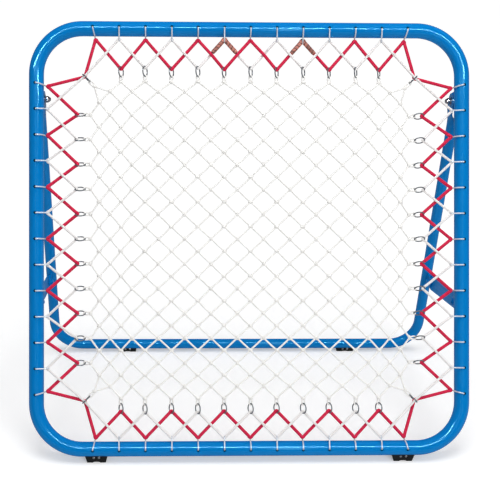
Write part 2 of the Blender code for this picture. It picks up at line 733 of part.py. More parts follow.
def add_stay_pivot(hoop, side):
    """What holds a stay to the hoop: lug, bolt and nut."""
    word = SIDE_NAMES[side]
    spot = tuple(STAY_LOCAL)
    add_lug(f"stay_lug_{word}", side, STAY_LUG_IN, STAY_LUG_THICKNESS, STAY_LUG_RADIUS,
            -STAY_LOCAL.z - TUBE_R / 2, 1, hoop, spot, (HALF_W, TUBE_R))
    nut_in = STAY_NUT_OUT - NUT_HEIGHT
    add_bolt(f"stay_pivot_bolt_{word}", side, STAY_HEAD_IN, nut_in - THREAD_PROUD, True, hoop, spot)
    add_nut(f"stay_pivot_nut_{word}", side, nut_in, hoop, spot)


def add_catch(leg, side):
    """What a stay's notch hooks on to, on the leg: lug, bolt and nut."""
    word = SIDE_NAMES[side]
    spot = tuple(CATCH_LOCAL)
    add_lug(f"leg_stay_lug_{word}", side, STAY_LUG_IN, STAY_LUG_THICKNESS, CATCH_LUG_RADIUS,
            CATCH_LOCAL.z - LEG_R / 2, -1, leg, spot, (LEG_HALF, LEG_R))
    tail = STAY_HEAD_IN + NUT_HEIGHT + THREAD_PROUD
    add_bolt(f"stay_catch_bolt_{word}", side, STAY_NUT_OUT, tail, False, leg, spot)
    add_nut(f"stay_catch_nut_{word}", side, STAY_HEAD_IN, leg, spot)


def notch_lean():
    """How far the notch leans from square to the stay: along the path on which the catch leaves it.

    Leg and stay swing down together, the stay faster, so the catch leaves at the difference of their speeds.
    """
    def speed(rate, arm):
        return Vector((0, rate * arm.z, -rate * arm.y))

    away = speed(1.0, CATCH_WORLD - HINGE_WORLD) - speed(STAY_FOLD / LEG_FOLD, STAY_RUN)
    local = Matrix.Rotation(-STAY_TURN, 3, "X") @ away
    return math.atan2(-local.y, local.z)


def add_stay(side):
    """A flat stay on its pivot, with an open notch in its upper edge for the catch."""
    word = SIDE_NAMES[side]
    middle = side * (STAY_IN + STAY_OUT) / 2
    place = (middle, STAY_WORLD.y, STAY_WORLD.z)
    pivot = add(f"stay_pivot_{word}", None, None, None, place, (STAY_TURN, 0, 0))
    end = STAY_LENGTH + STAY_TIP - STAY_WIDTH / 2
    outline = stadium(end, STAY_WIDTH / 2)
    mesh = plate("stay", [outline, circle((0, 0), BOLT_HOLE_R)], STAY_THICKNESS)
    stay = add(f"stay_bar_{word}", mesh, PLATE_PAINT, pivot, (0, 0, 0), SIDEWAYS_PLATE)
    slot = plate("slot", [stadium(STAY_WIDTH, BOLT_R + NOTCH_GAP)], 2 * STAY_THICKNESS)
    up = Matrix.Rotation(math.pi / 2 + notch_lean(), 4, "Z")
    turned = copies("slot", slot, [Matrix.Translation((STAY_LENGTH, 0, 0)) @ up])
    combine(stay, "DIFFERENCE", "notch", turned, pivot, (0, 0, 0), SIDEWAYS_PLATE)


def leg_section(centre, inward, flatness):
    """A ring of points round the leg: round, or partly or wholly pressed flat to the leg's inner side."""
    points = []
    shift = LEG_R - TOUCH - LEG_END_THICKNESS / 2
    widest = math.sin(math.radians(75))
    for step in range(12):
        angle = math.radians(15 + 30 * step)
        round_in, round_front = LEG_R * math.cos(angle), LEG_R * math.sin(angle)
        flat_in = shift + math.copysign(LEG_END_THICKNESS / 2, math.cos(angle))
        flat_front = LEG_END_WIDTH / 2 * math.sin(angle) / widest
        across = round_in + (flat_in - round_in) * flatness
        front = round_front + (flat_front - round_front) * flatness
        points.append(Vector(centre) + inward * across + Vector((0, 0, front)))
    return points


def leg_end_sections():
    """The pressed end of the left leg, from its round tip down to the full round of the tube."""
    inward = Vector((1, 0, 0))
    radius = LEG_END_WIDTH / 2
    sections = []
    for degrees in (78, 52, 26, 0):
        angle = math.radians(degrees)
        flat = leg_section((-LEG_HALF, radius * math.sin(angle), 0), inward, 1.0)
        narrow = Matrix.Diagonal((1, 1, math.cos(angle)))
        sections.append([narrow @ point for point in flat])
    for share in (0.0, 0.3, 0.5, 0.7, 1.0):
        y = -LEG_FLAT_LENGTH - LEG_TAPER_LENGTH * share
        blend = share * share * (3 - 2 * share)
        sections.append(leg_section((-LEG_HALF, y, 0), inward, 1 - blend))
    return sections


def leg_bend_sections():
    """The left bend of the leg, and its crossbar as far as the middle."""
    centre = Vector((-LEG_HALF + LEG_BEND_RADIUS, -LEG_LENGTH + LEG_BEND_RADIUS, 0))
    sections = []
    for step in range(7):
        angle = math.pi + step * math.pi / 12
        out = Vector((math.cos(angle), math.sin(angle), 0))
        sections.append(leg_section(centre + out * LEG_BEND_RADIUS, -out, 0.0))
    sections.append(leg_section((0, -LEG_LENGTH, 0), Vector((0, 1, 0)), 0.0))
    return sections


def leg_half():
    """The left half of the leg's skin, open at the middle plane."""
    shape = bmesh.new()
    sections = leg_end_sections() + leg_bend_sections()
    rings = [[shape.verts.new(point) for point in ring] for ring in sections]
    shape.faces.new(reversed(rings[0]))
    for upper, lower in zip(rings, rings[1:]):
        for n in range(len(upper)):
            shape.faces.new((upper[n - 1], upper[n], lower[n], lower[n - 1]))
    mesh = bpy.data.meshes.new("leg")
    shape.to_mesh(mesh)
    shape.free()
    return mesh


def leg_bore():
    """The hollow of the leg, from below one pressed end to below the other."""
    top = -LEG_FLAT_LENGTH - LEG_TAPER_LENGTH - LEG_TUBE_DIAMETER / 4
    corner = (LEG_HALF - LEG_BEND_RADIUS, -LEG_LENGTH + LEG_BEND_RADIUS)
    left = arc((-corner[0], corner[1]), LEG_BEND_RADIUS, math.pi, 3 * math.pi / 2, 6)
    right = arc(corner, LEG_BEND_RADIUS, 3 * math.pi / 2, 2 * math.pi, 6)
    line = [(-LEG_HALF, top), *left, *right, (LEG_HALF, top)]
    return tube("leg_bore", line, LEG_R - LEG_TUBE_WALL, 8)


def add_leg(leg):
    """The U-shaped leg: hollow, with a bolt hole in each pressed end and rivet holes in its crossbar."""
    body = add("rear_leg_tube", leg_half(), BLUE_PAINT, leg)
    mirror = body.modifiers.new("other_half", "MIRROR")
    mirror.merge_threshold = WELD
    combine(body, "DIFFERENCE", "inside", leg_bore(), leg)
    hole = bore(BOLT_HOLE_R, -HOOP_WIDTH / 2, HOOP_WIDTH / 2)
    combine(body, "DIFFERENCE", "hinge_hole", hole, leg, (0, 0, 0), (0, math.pi / 2, 0))
    rivet_holes = copies("rivet_holes", rivet_bore(LEG_R), rear_rivet_places())
    combine(body, "DIFFERENCE", "rivet_holes", rivet_holes)


def build():
    """Make every piece of the rebounder."""
    hoop = add("hoop_plane", None, None, None, HOOP_MATRIX.translation, (HOOP_INCLINE, 0, 0))
    leg = add("rear_leg_hinge", None, None, None, HINGE_WORLD, (LEG_TURN, 0, 0))
    add_hoop(hoop)
    add_net(hoop)
    for red in (True, False):
        add_cord(hoop, red)
        add_tape(hoop, red)
    add_leg(leg)
    for side in (LEFT, RIGHT):
        add_hinge(hoop, side)
        add_stay_pivot(hoop, side)
        add_catch(leg, side)
        add_stay(side)

    front_y = -HALF_H * math.cos(HOOP_INCLINE)
    front_rivets = front_rivet_places()
    add_feet("front", FRONT_FOOT_X, front_y, HOOP_TUBE_Z, TUBE_R, FRONT_FOOT_WIDTH, FRONT_FOOT_DEPTH,
             front_rivets, None, None)
    add_rivets("front", front_rivets, FRONT_FOOT_DEPTH / 2 - TUBE_R / 2, None, None)

    rear_y = (LEG_MATRIX @ Vector((0, -LEG_LENGTH, 0))).y
    rear_rivets = rear_rivet_places()
    add_feet("rear", REAR_FOOT_X, rear_y, REAR_BAR_Z, LEG_R, REAR_FOOT_WIDTH, REAR_FOOT_DEPTH,
             rear_rivets, leg, LEG_MATRIX)
    add_rivets("rear", rear_rivets, REAR_FOOT_DEPTH / 2 - LEG_R / 2, leg, LEG_MATRIX)


build()
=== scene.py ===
"""Dressed model of a folding rebounder: bent tube hoop, knotted net on two elastic cords, hinged leg and side stays.

Metres, +Z up, the front faces -Y. Each piece's place is in its mesh, and its object stays at the origin.
"""

import json
import logging
import random
from collections.abc import Callable, Sequence
from dataclasses import dataclass, field
from enum import Enum
from math import acos, atan2, copysign, cos, pi, radians, sin, sqrt

import bmesh
import bpy
from bpy.types import Material, Mesh, Node, NodeSocket, NodeTree, Object
from mathutils import Matrix, Vector

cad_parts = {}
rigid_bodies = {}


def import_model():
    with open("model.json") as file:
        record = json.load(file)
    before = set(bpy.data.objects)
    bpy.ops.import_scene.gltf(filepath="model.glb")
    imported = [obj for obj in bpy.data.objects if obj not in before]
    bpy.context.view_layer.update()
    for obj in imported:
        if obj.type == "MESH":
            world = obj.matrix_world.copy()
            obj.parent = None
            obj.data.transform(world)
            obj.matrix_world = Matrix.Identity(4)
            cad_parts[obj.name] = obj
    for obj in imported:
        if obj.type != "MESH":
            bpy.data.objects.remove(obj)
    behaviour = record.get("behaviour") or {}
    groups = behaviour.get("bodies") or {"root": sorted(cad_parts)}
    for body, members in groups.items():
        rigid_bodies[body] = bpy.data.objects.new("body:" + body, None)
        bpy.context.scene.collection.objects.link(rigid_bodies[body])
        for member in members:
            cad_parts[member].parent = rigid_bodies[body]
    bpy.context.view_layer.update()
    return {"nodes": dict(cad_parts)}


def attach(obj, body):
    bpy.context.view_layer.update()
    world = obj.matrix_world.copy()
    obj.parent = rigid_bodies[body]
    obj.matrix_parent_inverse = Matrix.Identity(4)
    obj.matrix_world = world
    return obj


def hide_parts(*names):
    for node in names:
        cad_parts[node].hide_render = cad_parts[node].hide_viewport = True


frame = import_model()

LOG = logging.getLogger("rebounder")
Outline = list[tuple[float, float]]
Triple = tuple[float, float, float]
Reach = Callable[[float, float, float], float]

# Driving sizes, and points round large and small circles, that several sub-assemblies share
WIRE_RADIUS = 0.0015
BOLT_RADIUS = 0.004
TOUCH = 0.0003
LARGE_ROUND = 48
SMALL_ROUND = 24
SEED = 11


class Named(Enum):
    """Options whose names stand in the names of pieces."""

    @property
    def word(self) -> str:
        """The option as a word."""
        return self.name.lower()


class Side(Named):
    """Left and right of the rebounder, seen from the front, by the sign of X."""

    LEFT = -1
    RIGHT = 1


class CordKind(Named):
    """The two elastic cords, by how far each lies in front of the hoop's middle plane."""

    RED = 0.0027
    WHITE = 0.0093

    @property
    def other(self) -> "CordKind":
        """The other cord."""
        return CordKind.WHITE if self is CordKind.RED else CordKind.RED

    def hooked_at(self, station: int) -> bool:
        """Whether this cord hangs on a hook at this station, and not in a ring."""
        return (station % 2 == 0) == (self is CordKind.RED)


class Body(Enum):
    """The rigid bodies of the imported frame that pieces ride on."""

    FRAME = "frame"
    LEG = "rear_leg"
    STAY_LEFT = "stay_left"
    STAY_RIGHT = "stay_right"


def at(place: Sequence[float]) -> Matrix:
    """A move to a place."""
    return Matrix.Translation(place)


def spin(angle: float, axis: str) -> Matrix:
    """A turn about an axis."""
    return Matrix.Rotation(angle, 4, axis)


# Node trees


def put(tree: NodeTree, kind: str, inputs: dict | None = None, **settings: object) -> Node:
    """Add one node to a tree.

    Args:
        tree: The shader or geometry tree.
        kind: The node's type name.
        inputs: Values or output sockets by input name or number.
        settings: The node's own settings.

    Returns:
        The new node.
    """
    node = tree.nodes.new(kind)
    for key, value in settings.items():
        setattr(node, key, value)
    for key, value in (inputs or {}).items():
        if isinstance(value, NodeSocket):
            tree.links.new(value, node.inputs[key])
        else:
            node.inputs[key].default_value = value
    return node


def sums(tree: NodeTree, operation: str, first: object, second: object = 0.0) -> NodeSocket:
    """The output of one Math node."""
    return put(tree, "ShaderNodeMath", {0: first, 1: second}, operation=operation).outputs[0]


def noise(tree: NodeTree, place: NodeSocket, scale: object, detail: float, roughness: float = 0.5) -> NodeSocket:
    """The output of one Noise node."""
    return put(tree, "ShaderNodeTexNoise", {
        "Vector": place, "Scale": scale, "Detail": detail, "Roughness": roughness}).outputs["Fac"]


def stretch(tree: NodeTree, value: NodeSocket, low: object, high: float) -> NodeSocket:
    """The part of a value from low to high, as 0 to 1."""
    return put(tree, "ShaderNodeMapRange", {"Value": value, "From Min": low, "From Max": high}).outputs["Result"]


def new_group(name: str, kind: str, takes: dict[str, str], gives: dict[str, str]) -> tuple:
    """Start a node group with named sockets.

    Args:
        name: The group's name.
        kind: Shader or Geometry.
        takes: The last word of each input's socket type, by the input's name.
        gives: The same for the outputs.

    Returns:
        The group, and its inputs and outputs by name, as they are linked inside it.
    """
    tree = bpy.data.node_groups.new(name, f"{kind}NodeTree")
    for in_out, sockets in (("INPUT", takes), ("OUTPUT", gives)):
        for label, word in sockets.items():
            tree.interface.new_socket(label, in_out=in_out, socket_type=f"NodeSocket{word}")
    return tree, put(tree, "NodeGroupInput").outputs, put(tree, "NodeGroupOutput").inputs


class ShaderParts:
    """The shader groups that more than one finish uses, each built once."""

    def __init__(self) -> None:
        """Build every group."""
        self.mottle = self._mottle()
        self.scuffs = self._scuffs()
        self.braid = self._strands("braid", True)
        self.twist = self._strands("twist", False)

    @staticmethod
    def _mottle() -> NodeTree:
        """Build a soft uneven mask.

        Returns:
            The group, whose mask runs from 0 to 1.
        """
        tree, takes, gives = new_group(
            "mottle", "Shader", {"Vector": "Vector", "Scale": "Float", "Contrast": "Float"}, {"Mask": "Float"})
        soft = noise(tree, takes["Vector"], takes["Scale"], detail=4.0, roughness=0.6)
        spread = sums(tree, "MULTIPLY", sums(tree, "SUBTRACT", soft, 0.5), takes["Contrast"])
        mask = put(tree, "ShaderNodeMath", {0: spread, 1: 0.5}, operation="ADD", use_clamp=True)
        tree.links.new(mask.outputs[0], gives["Mask"])
        return tree

    @staticmethod
    def _scuffs() -> NodeTree:
        """Build sparse short rub marks: fine flecks inside a few patches.

        Returns:
            The group, whose mask runs from 0 to 1.
        """
        tree, takes, gives = new_group(
            "scuffs", "Shader", {"Vector": "Vector", "Scale": "Float", "Amount": "Float"}, {"Mask": "Float"})
        patch = noise(tree, takes["Vector"], takes["Scale"], detail=2.0)
        fine = noise(tree, takes["Vector"], sums(tree, "MULTIPLY", takes["Scale"], 14.0), detail=3.0, roughness=0.7)
        patches = stretch(tree, patch, sums(tree, "SUBTRACT", 0.82, takes["Amount"]), 0.86)
        tree.links.new(sums(tree, "MULTIPLY", patches, stretch(tree, fine, 0.52, 0.60)), gives["Mask"])
        return tree

    @staticmethod
    def _strands(name: str, braided: bool) -> NodeTree:
        """Build the height of laid or braided strands, from a UV map of turns round and metres along.

        Args:
            name: The group's name.
            braided: Whether the strands cross, each with a tone of its own.

        Returns:
            The group.
        """
        tree, takes, gives = new_group(
            name, "Shader", {"UV": "Vector", "Strands": "Float", "Pitch": "Float"},
            {"Height": "Float"} | ({"Strand Tone": "Float"} if braided else {}))
        axes = put(tree, "ShaderNodeSeparateXYZ", {0: takes["UV"]}).outputs
        around = sums(tree, "MULTIPLY", axes[0], takes["Strands"])
        along = sums(tree, "DIVIDE", axes[1], takes["Pitch"])
        ways = [sums(tree, lean, around, along) for lean in (("ADD", "SUBTRACT") if braided else ("ADD",))]
        waves = [sums(tree, "ABSOLUTE", sums(tree, "SINE", sums(tree, "MULTIPLY", way, pi))) for way in ways]
        height = waves[0]
        if braided:
            cells = sums(tree, "ADD", *[sums(tree, "FLOOR", way) for way in ways])
            over = sums(tree, "FLOORED_MODULO", cells, 2.0)
            mix = put(tree, "ShaderNodeMix", {"Factor": over, 2: waves[0], 3: waves[1]}, data_type="FLOAT")
            height = mix.outputs[0]
            tone = put(tree, "ShaderNodeTexWhiteNoise", {"W": cells}, noise_dimensions="1D")
            tree.links.new(tone.outputs["Value"], gives["Strand Tone"])
        tree.links.new(height, gives["Height"])
        return tree


PARTS = ShaderParts()


class Shade:
    """One material being built: its tree, its shader and the ways to feed it."""

    def __init__(self, name: str, even: dict[str, object]) -> None:
        """Start a material.

        Args:
            name: The material's name.
            even: The values that are the same all over it, by the shader's own sockets.
        """
        self.material = bpy.data.materials.new(name)
        self.material.use_nodes = True
        self.tree = self.material.node_tree
        self.shader = self.tree.nodes["Principled BSDF"]
        for socket, value in even.items():
            self.shader.inputs[socket].default_value = value
        self.place = put(self.tree, "ShaderNodeTexCoord").outputs["Object"]

    def mottle(self, scale: float, contrast: float) -> NodeSocket:
        """A soft uneven mask."""
        values = {"Vector": self.place, "Scale": scale, "Contrast": contrast}
        return put(self.tree, "ShaderNodeGroup", values, node_tree=PARTS.mottle).outputs["Mask"]

    def scuffs(self, scale: float, amount: float) -> NodeSocket:
        """A mask of sparse rub marks."""
        values = {"Vector": self.place, "Scale": scale, "Amount": amount}
        return put(self.tree, "ShaderNodeGroup", values, node_tree=PARTS.scuffs).outputs["Mask"]

    def strands(self, group: NodeTree, count: float, pitch: float) -> Node:
        """A strand group on the mesh's map of turns and metres."""
        turns = put(self.tree, "ShaderNodeUVMap", uv_map="run").outputs["UV"]
        return put(self.tree, "ShaderNodeGroup", {"UV": turns, "Strands": count, "Pitch": pitch}, node_tree=group)

    def share(self, mask: NodeSocket, part: object) -> NodeSocket:
        """A part of a mask."""
        return sums(self.tree, "MULTIPLY", mask, part)

    def blend(self, mask: object, first: object, second: object) -> NodeSocket:
        """Mix two colours by a mask."""
        pair = [(*value, 1.0) if isinstance(value, tuple) else value for value in (first, second)]
        return put(self.tree, "ShaderNodeMix", {0: mask, 6: pair[0], 7: pair[1]}, data_type="RGBA").outputs[2]

    def colour(self, socket: NodeSocket) -> None:
        """Feed the base colour."""
        self.tree.links.new(socket, self.shader.inputs["Base Color"])

    def rough(self, mask: NodeSocket, low: float, high: float) -> None:
        """Let the roughness run from low to high with a mask."""
        spread = put(self.tree, "ShaderNodeMapRange", {"Value": mask, "To Min": low, "To Max": high})
        self.tree.links.new(spread.outputs["Result"], self.shader.inputs["Roughness"])

    def bump(self, height: NodeSocket, depth: float, strength: float, fuzz: NodeSocket | None = None) -> None:
        """Raise the surface by a height.

        Args:
            height: The height, from 0 to 1.
            depth: The metres of full height.
            strength: How much of it shows.
            fuzz: A second height that is added.
        """
        height = sums(self.tree, "ADD", height, fuzz) if fuzz else height
        relief = put(self.tree, "ShaderNodeBump", {"Height": height, "Distance": depth, "Strength": strength})
        self.tree.links.new(relief.outputs["Normal"], self.shader.inputs["Normal"])

    def grain(self, scale: float, detail: float = 3.0) -> NodeSocket:
        """A plain noise on the object's own coordinates."""
        return noise(self.tree, self.place, scale, detail)


@dataclass(frozen=True)
class Finish:
    """What every finish has: its name, its main colour, and a second one: stains and dust on some finishes, painted
    shade in grooves on others.
    """

    name: str
    colour: Triple
    second: Triple


@dataclass(frozen=True)
class Paint(Finish):
    """Powder coat: a clear colour, deeper in places, with a soft orange peel and a few rub marks."""

    roughness: float
    shine: float
    ior: float = 1.8
    tint: Triple = (0.25, 0.80, 1.0)
    worn_roughness: float = 0.09

    def material(self) -> Material:
        """Build the finish.

        Returns:
            Its material.
        """
        shade = Shade(self.name, {"Roughness": self.roughness, "IOR": self.ior, "Specular IOR Level": self.shine,
                                  "Specular Tint": (*self.tint, 1.0)})
        uneven, marks = shade.mottle(scale=9.0, contrast=1.6), shade.scuffs(scale=16.0, amount=0.22)
        worn = tuple(0.80 * value + 0.03 for value in self.colour)
        shade.colour(shade.blend(shade.share(marks, 0.35), shade.blend(uneven, self.second, self.colour), worn))
        shade.rough(sums(shade.tree, "MAXIMUM", marks, shade.share(uneven, 0.3)),
                    self.roughness, self.roughness + self.worn_roughness)
        shade.bump(shade.grain(420.0, 1.0), depth=0.00005, strength=0.2)
        return shade.material


@dataclass(frozen=True)
class Metal(Finish):
    """Plated or bare steel with faint stains and a fine grain."""

    roughness: float
    grain: float = 900.0
    bareness: float = 1.0
    stain_roughness: float = 0.12

    def material(self) -> Material:
        """Build the finish.

        Returns:
            Its material.
        """
        shade = Shade(self.name, {"Roughness": self.roughness, "Metallic": self.bareness})
        uneven, spots = shade.mottle(scale=160.0, contrast=2.4), shade.scuffs(scale=90.0, amount=0.30)
        shade.colour(shade.blend(spots, shade.blend(uneven, self.second, self.colour), self.second))
        shade.rough(uneven, self.roughness + self.stain_roughness, self.roughness)
        shade.bump(shade.grain(self.grain), depth=0.00006, strength=0.5)
        return shade.material


@dataclass(frozen=True)
class BraidedCover(Finish):
    """The woven cover of an elastic cord, with painted shade dark in its grooves, and light on faded strands."""

    light: Triple
    strands: float = 6.0
    pitch: float = 0.0034

    def material(self) -> Material:
        """Build the finish.

        Returns:
            Its material.
        """
        shade = Shade(self.name, {"Roughness": 0.72, "Sheen Weight": 0.06, "Sheen Roughness": 0.4,
                                  "Specular IOR Level": 0.15})
        braid = shade.strands(PARTS.braid, self.strands, self.pitch)
        height, tone = braid.outputs["Height"], shade.share(braid.outputs["Strand Tone"], 0.5)
        faded = sums(shade.tree, "ADD", tone, shade.mottle(scale=22.0, contrast=1.8))
        strand = shade.blend(shade.share(faded, 0.6), self.colour, self.light)
        # painted shade: the second colour darkens the low parts of the braid, between its strands
        shade.colour(shade.blend(stretch(shade.tree, height, 0.1, 0.75), self.second, strand))
        shade.bump(height, depth=0.0005, strength=0.8, fuzz=shade.share(shade.grain(3200.0, 2.0), 0.25))
        return shade.material


@dataclass(frozen=True)
class Twine(Finish):
    """Laid twine, by its UV map, or its whippings, by the run of their wire, with painted shade in the grooves between
    strands and turns.
    """

    pitch: float = 0.0052
    laid: bool = True

    def material(self) -> Material:
        """Build the finish.

        Returns:
            Its material.
        """
        shade = Shade(self.name, {"Roughness": 0.85, "Sheen Weight": 0.15})
        if self.laid:
            height = shade.strands(PARTS.twist, 3.0, self.pitch).outputs["Height"]
        else:
            run = put(shade.tree, "ShaderNodeAttribute", attribute_name="run_length").outputs["Fac"]
            height = sums(shade.tree, "ABSOLUTE", sums(shade.tree, "SINE", shade.share(run, pi / self.pitch)))
        dusty = tuple(0.93 * value for value in self.colour)
        soiled = shade.blend(shade.mottle(scale=30.0, contrast=2.0), dusty, self.colour)
        # painted shade: the second colour darkens the grooves between strands and turns; the dusty mottle is real soil
        shade.colour(shade.blend(stretch(shade.tree, height, 0.0, 0.6), self.second, soiled))
        shade.bump(height, depth=0.0003, strength=0.45, fuzz=shade.share(shade.grain(2600.0, 2.0), 0.3))
        return shade.material


@dataclass(frozen=True)
class KnotWeave(Finish):
    """A pulled-tight knot: turns of twine seen on a small lump, with painted shade between the turns."""

    def material(self) -> Material:
        """Build the finish.

        Returns:
            Its material.
        """
        shade = Shade(self.name, {"Roughness": 0.85, "Sheen Weight": 0.15})
        height = put(shade.tree, "ShaderNodeTexWave", {
            "Vector": shade.place, "Scale": 150.0, "Distortion": 3.5, "Detail": 1.0, "Detail Scale": 40.0},
            wave_profile="SIN", bands_direction="DIAGONAL").outputs["Fac"]
        # painted shade: the second colour fills the low parts of the waves, between the turns
        shade.colour(shade.blend(height, self.second, self.colour))
        shade.bump(height, depth=0.0004, strength=0.6)
        return shade.material


@dataclass(frozen=True)
class WoundTape(Finish):
    """Cloth tape wound round a join, darker where it is soiled, with painted shade along the seams where its turns
    overlap.
    """

    light: Triple
    lap: float = 0.0085

    def material(self) -> Material:
        """Build the finish.

        Returns:
            Its material.
        """
        shade = Shade(self.name, {"Roughness": 0.5, "Coat Weight": 0.15, "Coat Roughness": 0.35})
        laps = shade.strands(PARTS.twist, 1.0, self.lap).outputs["Height"]
        cloth, grime = shade.mottle(scale=140.0, contrast=2.2), shade.mottle(scale=55.0, contrast=7.0)
        clean = shade.blend(cloth, self.colour, self.light)
        soiled = shade.blend(shade.share(grime, 0.6), clean, self.second)
        # painted shade: the second colour also darkens the seams between the turns, on top of the real grime
        shade.colour(shade.blend(stretch(shade.tree, laps, 0.15, 0.50), self.second, soiled))
        shade.rough(cloth, 0.45, 0.65)
        shade.bump(laps, depth=0.0005, strength=0.6, fuzz=shade.share(shade.grain(1500.0), 0.3))
        return shade.material


@dataclass(frozen=True)
class MouldedRubber(Finish):
    """Hard black rubber with a moulded grain and a little grey dust."""

    def material(self) -> Material:
        """Build the finish.

        Returns:
            Its material.
        """
        shade = Shade(self.name, {"Roughness": 0.55, "Specular IOR Level": 0.3})
        dusty, marks = shade.mottle(scale=70.0, contrast=2.6), shade.scuffs(scale=50.0, amount=0.35)
        mask = sums(shade.tree, "MAXIMUM", shade.share(dusty, 0.35), marks)
        shade.colour(shade.blend(mask, self.colour, self.second))
        shade.rough(mask, 0.46, 0.75)
        shade.bump(shade.grain(1400.0, 2.0), depth=0.00015, strength=0.5)
        return shade.material


class Finishes:
    """Every finish of the rebounder, each built once."""

    def __init__(self) -> None:
        """Build them."""
        self.tube_paint = Paint("blue_tube_paint", (0.0, 0.213, 0.62), (0.0, 0.184, 0.54), 0.09, 0.5).material()
        self.plate_paint = Paint("blue_plate_paint", (0.0, 0.225, 0.66), (0.0, 0.185, 0.56), 0.30, 0.1).material()
        self.zinc = Metal("bright_zinc", (0.68, 0.70, 0.73), (0.50, 0.52, 0.56), 0.26).material()
        self.chrome = Metal("polished_chrome", (0.62, 0.66, 0.70), (0.40, 0.44, 0.50), 0.12, 500.0).material()
        self.galvanised = Metal("galvanised_wire", (0.80, 0.86, 0.92), (0.62, 0.68, 0.76), 0.34,
                                bareness=0.3).material()
        self.ring_steel = Metal("dull_ring_steel", (0.30, 0.33, 0.36), (0.13, 0.15, 0.17), 0.30,
                                bareness=0.6).material()
        # cords, tape, twine and knots: the second colour is the painted shade in their grooves, and for the tape also
        # its grime
        self.covers = {
            CordKind.RED: BraidedCover("red_braid", (0.74, 0.012, 0.065), (0.50, 0.006, 0.040),
                                       (0.82, 0.03, 0.10)).material(),
            CordKind.WHITE: BraidedCover("white_braid", (0.95, 0.92, 0.91), (0.84, 0.81, 0.80),
                                         (0.97, 0.95, 0.94)).material()}
        self.tape = WoundTape("brown_cloth_tape", (0.54, 0.16, 0.115), (0.06, 0.018, 0.013),
                              (0.68, 0.25, 0.18)).material()
        self.net_twine = Twine("laid_net_twine", (0.97, 0.96, 0.935), (0.87, 0.86, 0.83)).material()
        self.whipping = Twine("whipped_loop_twine", (0.96, 0.95, 0.925), (0.84, 0.83, 0.80), 0.0012, False).material()
        self.knot = KnotWeave("knot_twine", (0.98, 0.975, 0.95), (0.86, 0.85, 0.82)).material()
        self.rubber = MouldedRubber("moulded_black_rubber", (0.006, 0.007, 0.008), (0.026, 0.027, 0.029)).material()


# Shapes


class Skin:
    """A mesh being built up from swept bars, with a UV map of turns round and metres along."""

    def __init__(self) -> None:
        """Start empty."""
        self.shape = bmesh.new()
        self.run = self.shape.loops.layers.uv.new("run")

    def sweep(self, path: Sequence[Vector], radius: float | Sequence[float], sides: int, closed: bool = False,
              across: Vector = Vector((0, 0, 1)), start: float = 0.0) -> None:
        """Add a round bar along a path.

        Args:
            path: The points of its centre line.
            radius: One radius, or one for each point.
            sides: Faces round the bar.
            closed: Whether the path ends where it starts.
            across: A direction that the path never runs along.
            start: The run length at the first point, which sets where the pattern starts.
        """
        count = len(path)
        radii = [radius] * count if isinstance(radius, float) else list(radius)
        angles = [2 * pi * k / sides for k in range(sides)]
        rings, lengths = [], [start]
        for n, point in enumerate(path):
            before = path[n - 1] if n or closed else point
            after = path[(n + 1) % count] if n + 1 < count or closed else point
            along = (after - before).normalized()
            up = (across - along * across.dot(along)).normalized()
            out = along.cross(up)
            rings.append([self.shape.verts.new(point + (out * cos(a) + up * sin(a)) * radii[n]) for a in angles])
            lengths.append(lengths[-1] + (path[(n + 1) % count] - point).length)
        for n in range(count if closed else count - 1):
            near, far = rings[n], rings[(n + 1) % count]
            for k in range(sides):
                face = self.shape.faces.new((near[k], far[k], far[(k + 1) % sides], near[(k + 1) % sides]))
                low, high = k / sides, (k + 1) / sides
                places = ((low, lengths[n]), (low, lengths[n + 1]), (high, lengths[n + 1]), (high, lengths[n]))
                for loop, place in zip(face.loops, places):
                    loop[self.run].uv = place
        if not closed:
            self.shape.faces.new(rings[0])
            self.shape.faces.new(reversed(rings[-1]))

    def mesh(self, name: str) -> Mesh:
        """Close the build and give the mesh."""
        return finished(self.shape, name)


def bar(name: str, path: Sequence[Vector], radius: float | Sequence[float], sides: int, closed: bool = False) -> Mesh:
    """Draw one round bar along a path.

    Args:
        name: The mesh's name.
        path: The points of its centre line.
        radius: Its radius, or one for each point.
        sides: Points round.
        closed: Whether its end meets its start.

    Returns:
        The new mesh.
    """
    skin = Skin()
    skin.sweep(path, radius, sides, closed)
    return skin.mesh(name)


def finished(shape: bmesh.types.BMesh, name: str) -> Mesh:
    """Turn a build into a mesh, which closes the build.

    Args:
        shape: The build.
        name: The mesh's name.

    Returns:
        The new mesh.
    """
    mesh = bpy.data.meshes.new(name)
    shape.to_mesh(mesh)
    shape.free()
    return mesh


def lump() -> bmesh.types.BMesh:
    """Start a coarse ball of unit radius, to be shaped into a small form.

    Returns:
        The build.
    """
    shape = bmesh.new()
    bmesh.ops.create_uvsphere(shape, u_segments=8, v_segments=6, radius=1.0)
    return shape


def outward(mesh: Mesh, merge: float = 0.0) -> Mesh:
    """Turn all faces of a mesh outwards.

    Args:
        mesh: The mesh, which is changed.
        merge: The distance under which points are merged, or 0 for none.

    Returns:
        The same mesh.
    """
    shape = bmesh.new()
    shape.from_mesh(mesh)
    if merge:
        bmesh.ops.remove_doubles(shape, verts=shape.verts, dist=merge)
    bmesh.ops.recalc_face_normals(shape, faces=shape.faces)
    shape.to_mesh(mesh)
    shape.free()
    return mesh


def loft(name: str, rings: Sequence[Sequence[Vector]]) -> Mesh:
    """Draw a closed skin through rings of points, capped at both ends.

    Args:
        name: The mesh's name.
        rings: The rings in order, all with the same count of points.

    Returns:
        The new mesh.
    """
    shape = bmesh.new()
    made = [[shape.verts.new(point) for point in ring] for ring in rings]
    for near, far in zip(made, made[1:]):
        for k in range(len(near)):
            shape.faces.new((near[k - 1], near[k], far[k], far[k - 1]))
    shape.faces.new(made[0])
    shape.faces.new(made[-1])
    bmesh.ops.recalc_face_normals(shape, faces=shape.faces)
    return finished(shape, name)


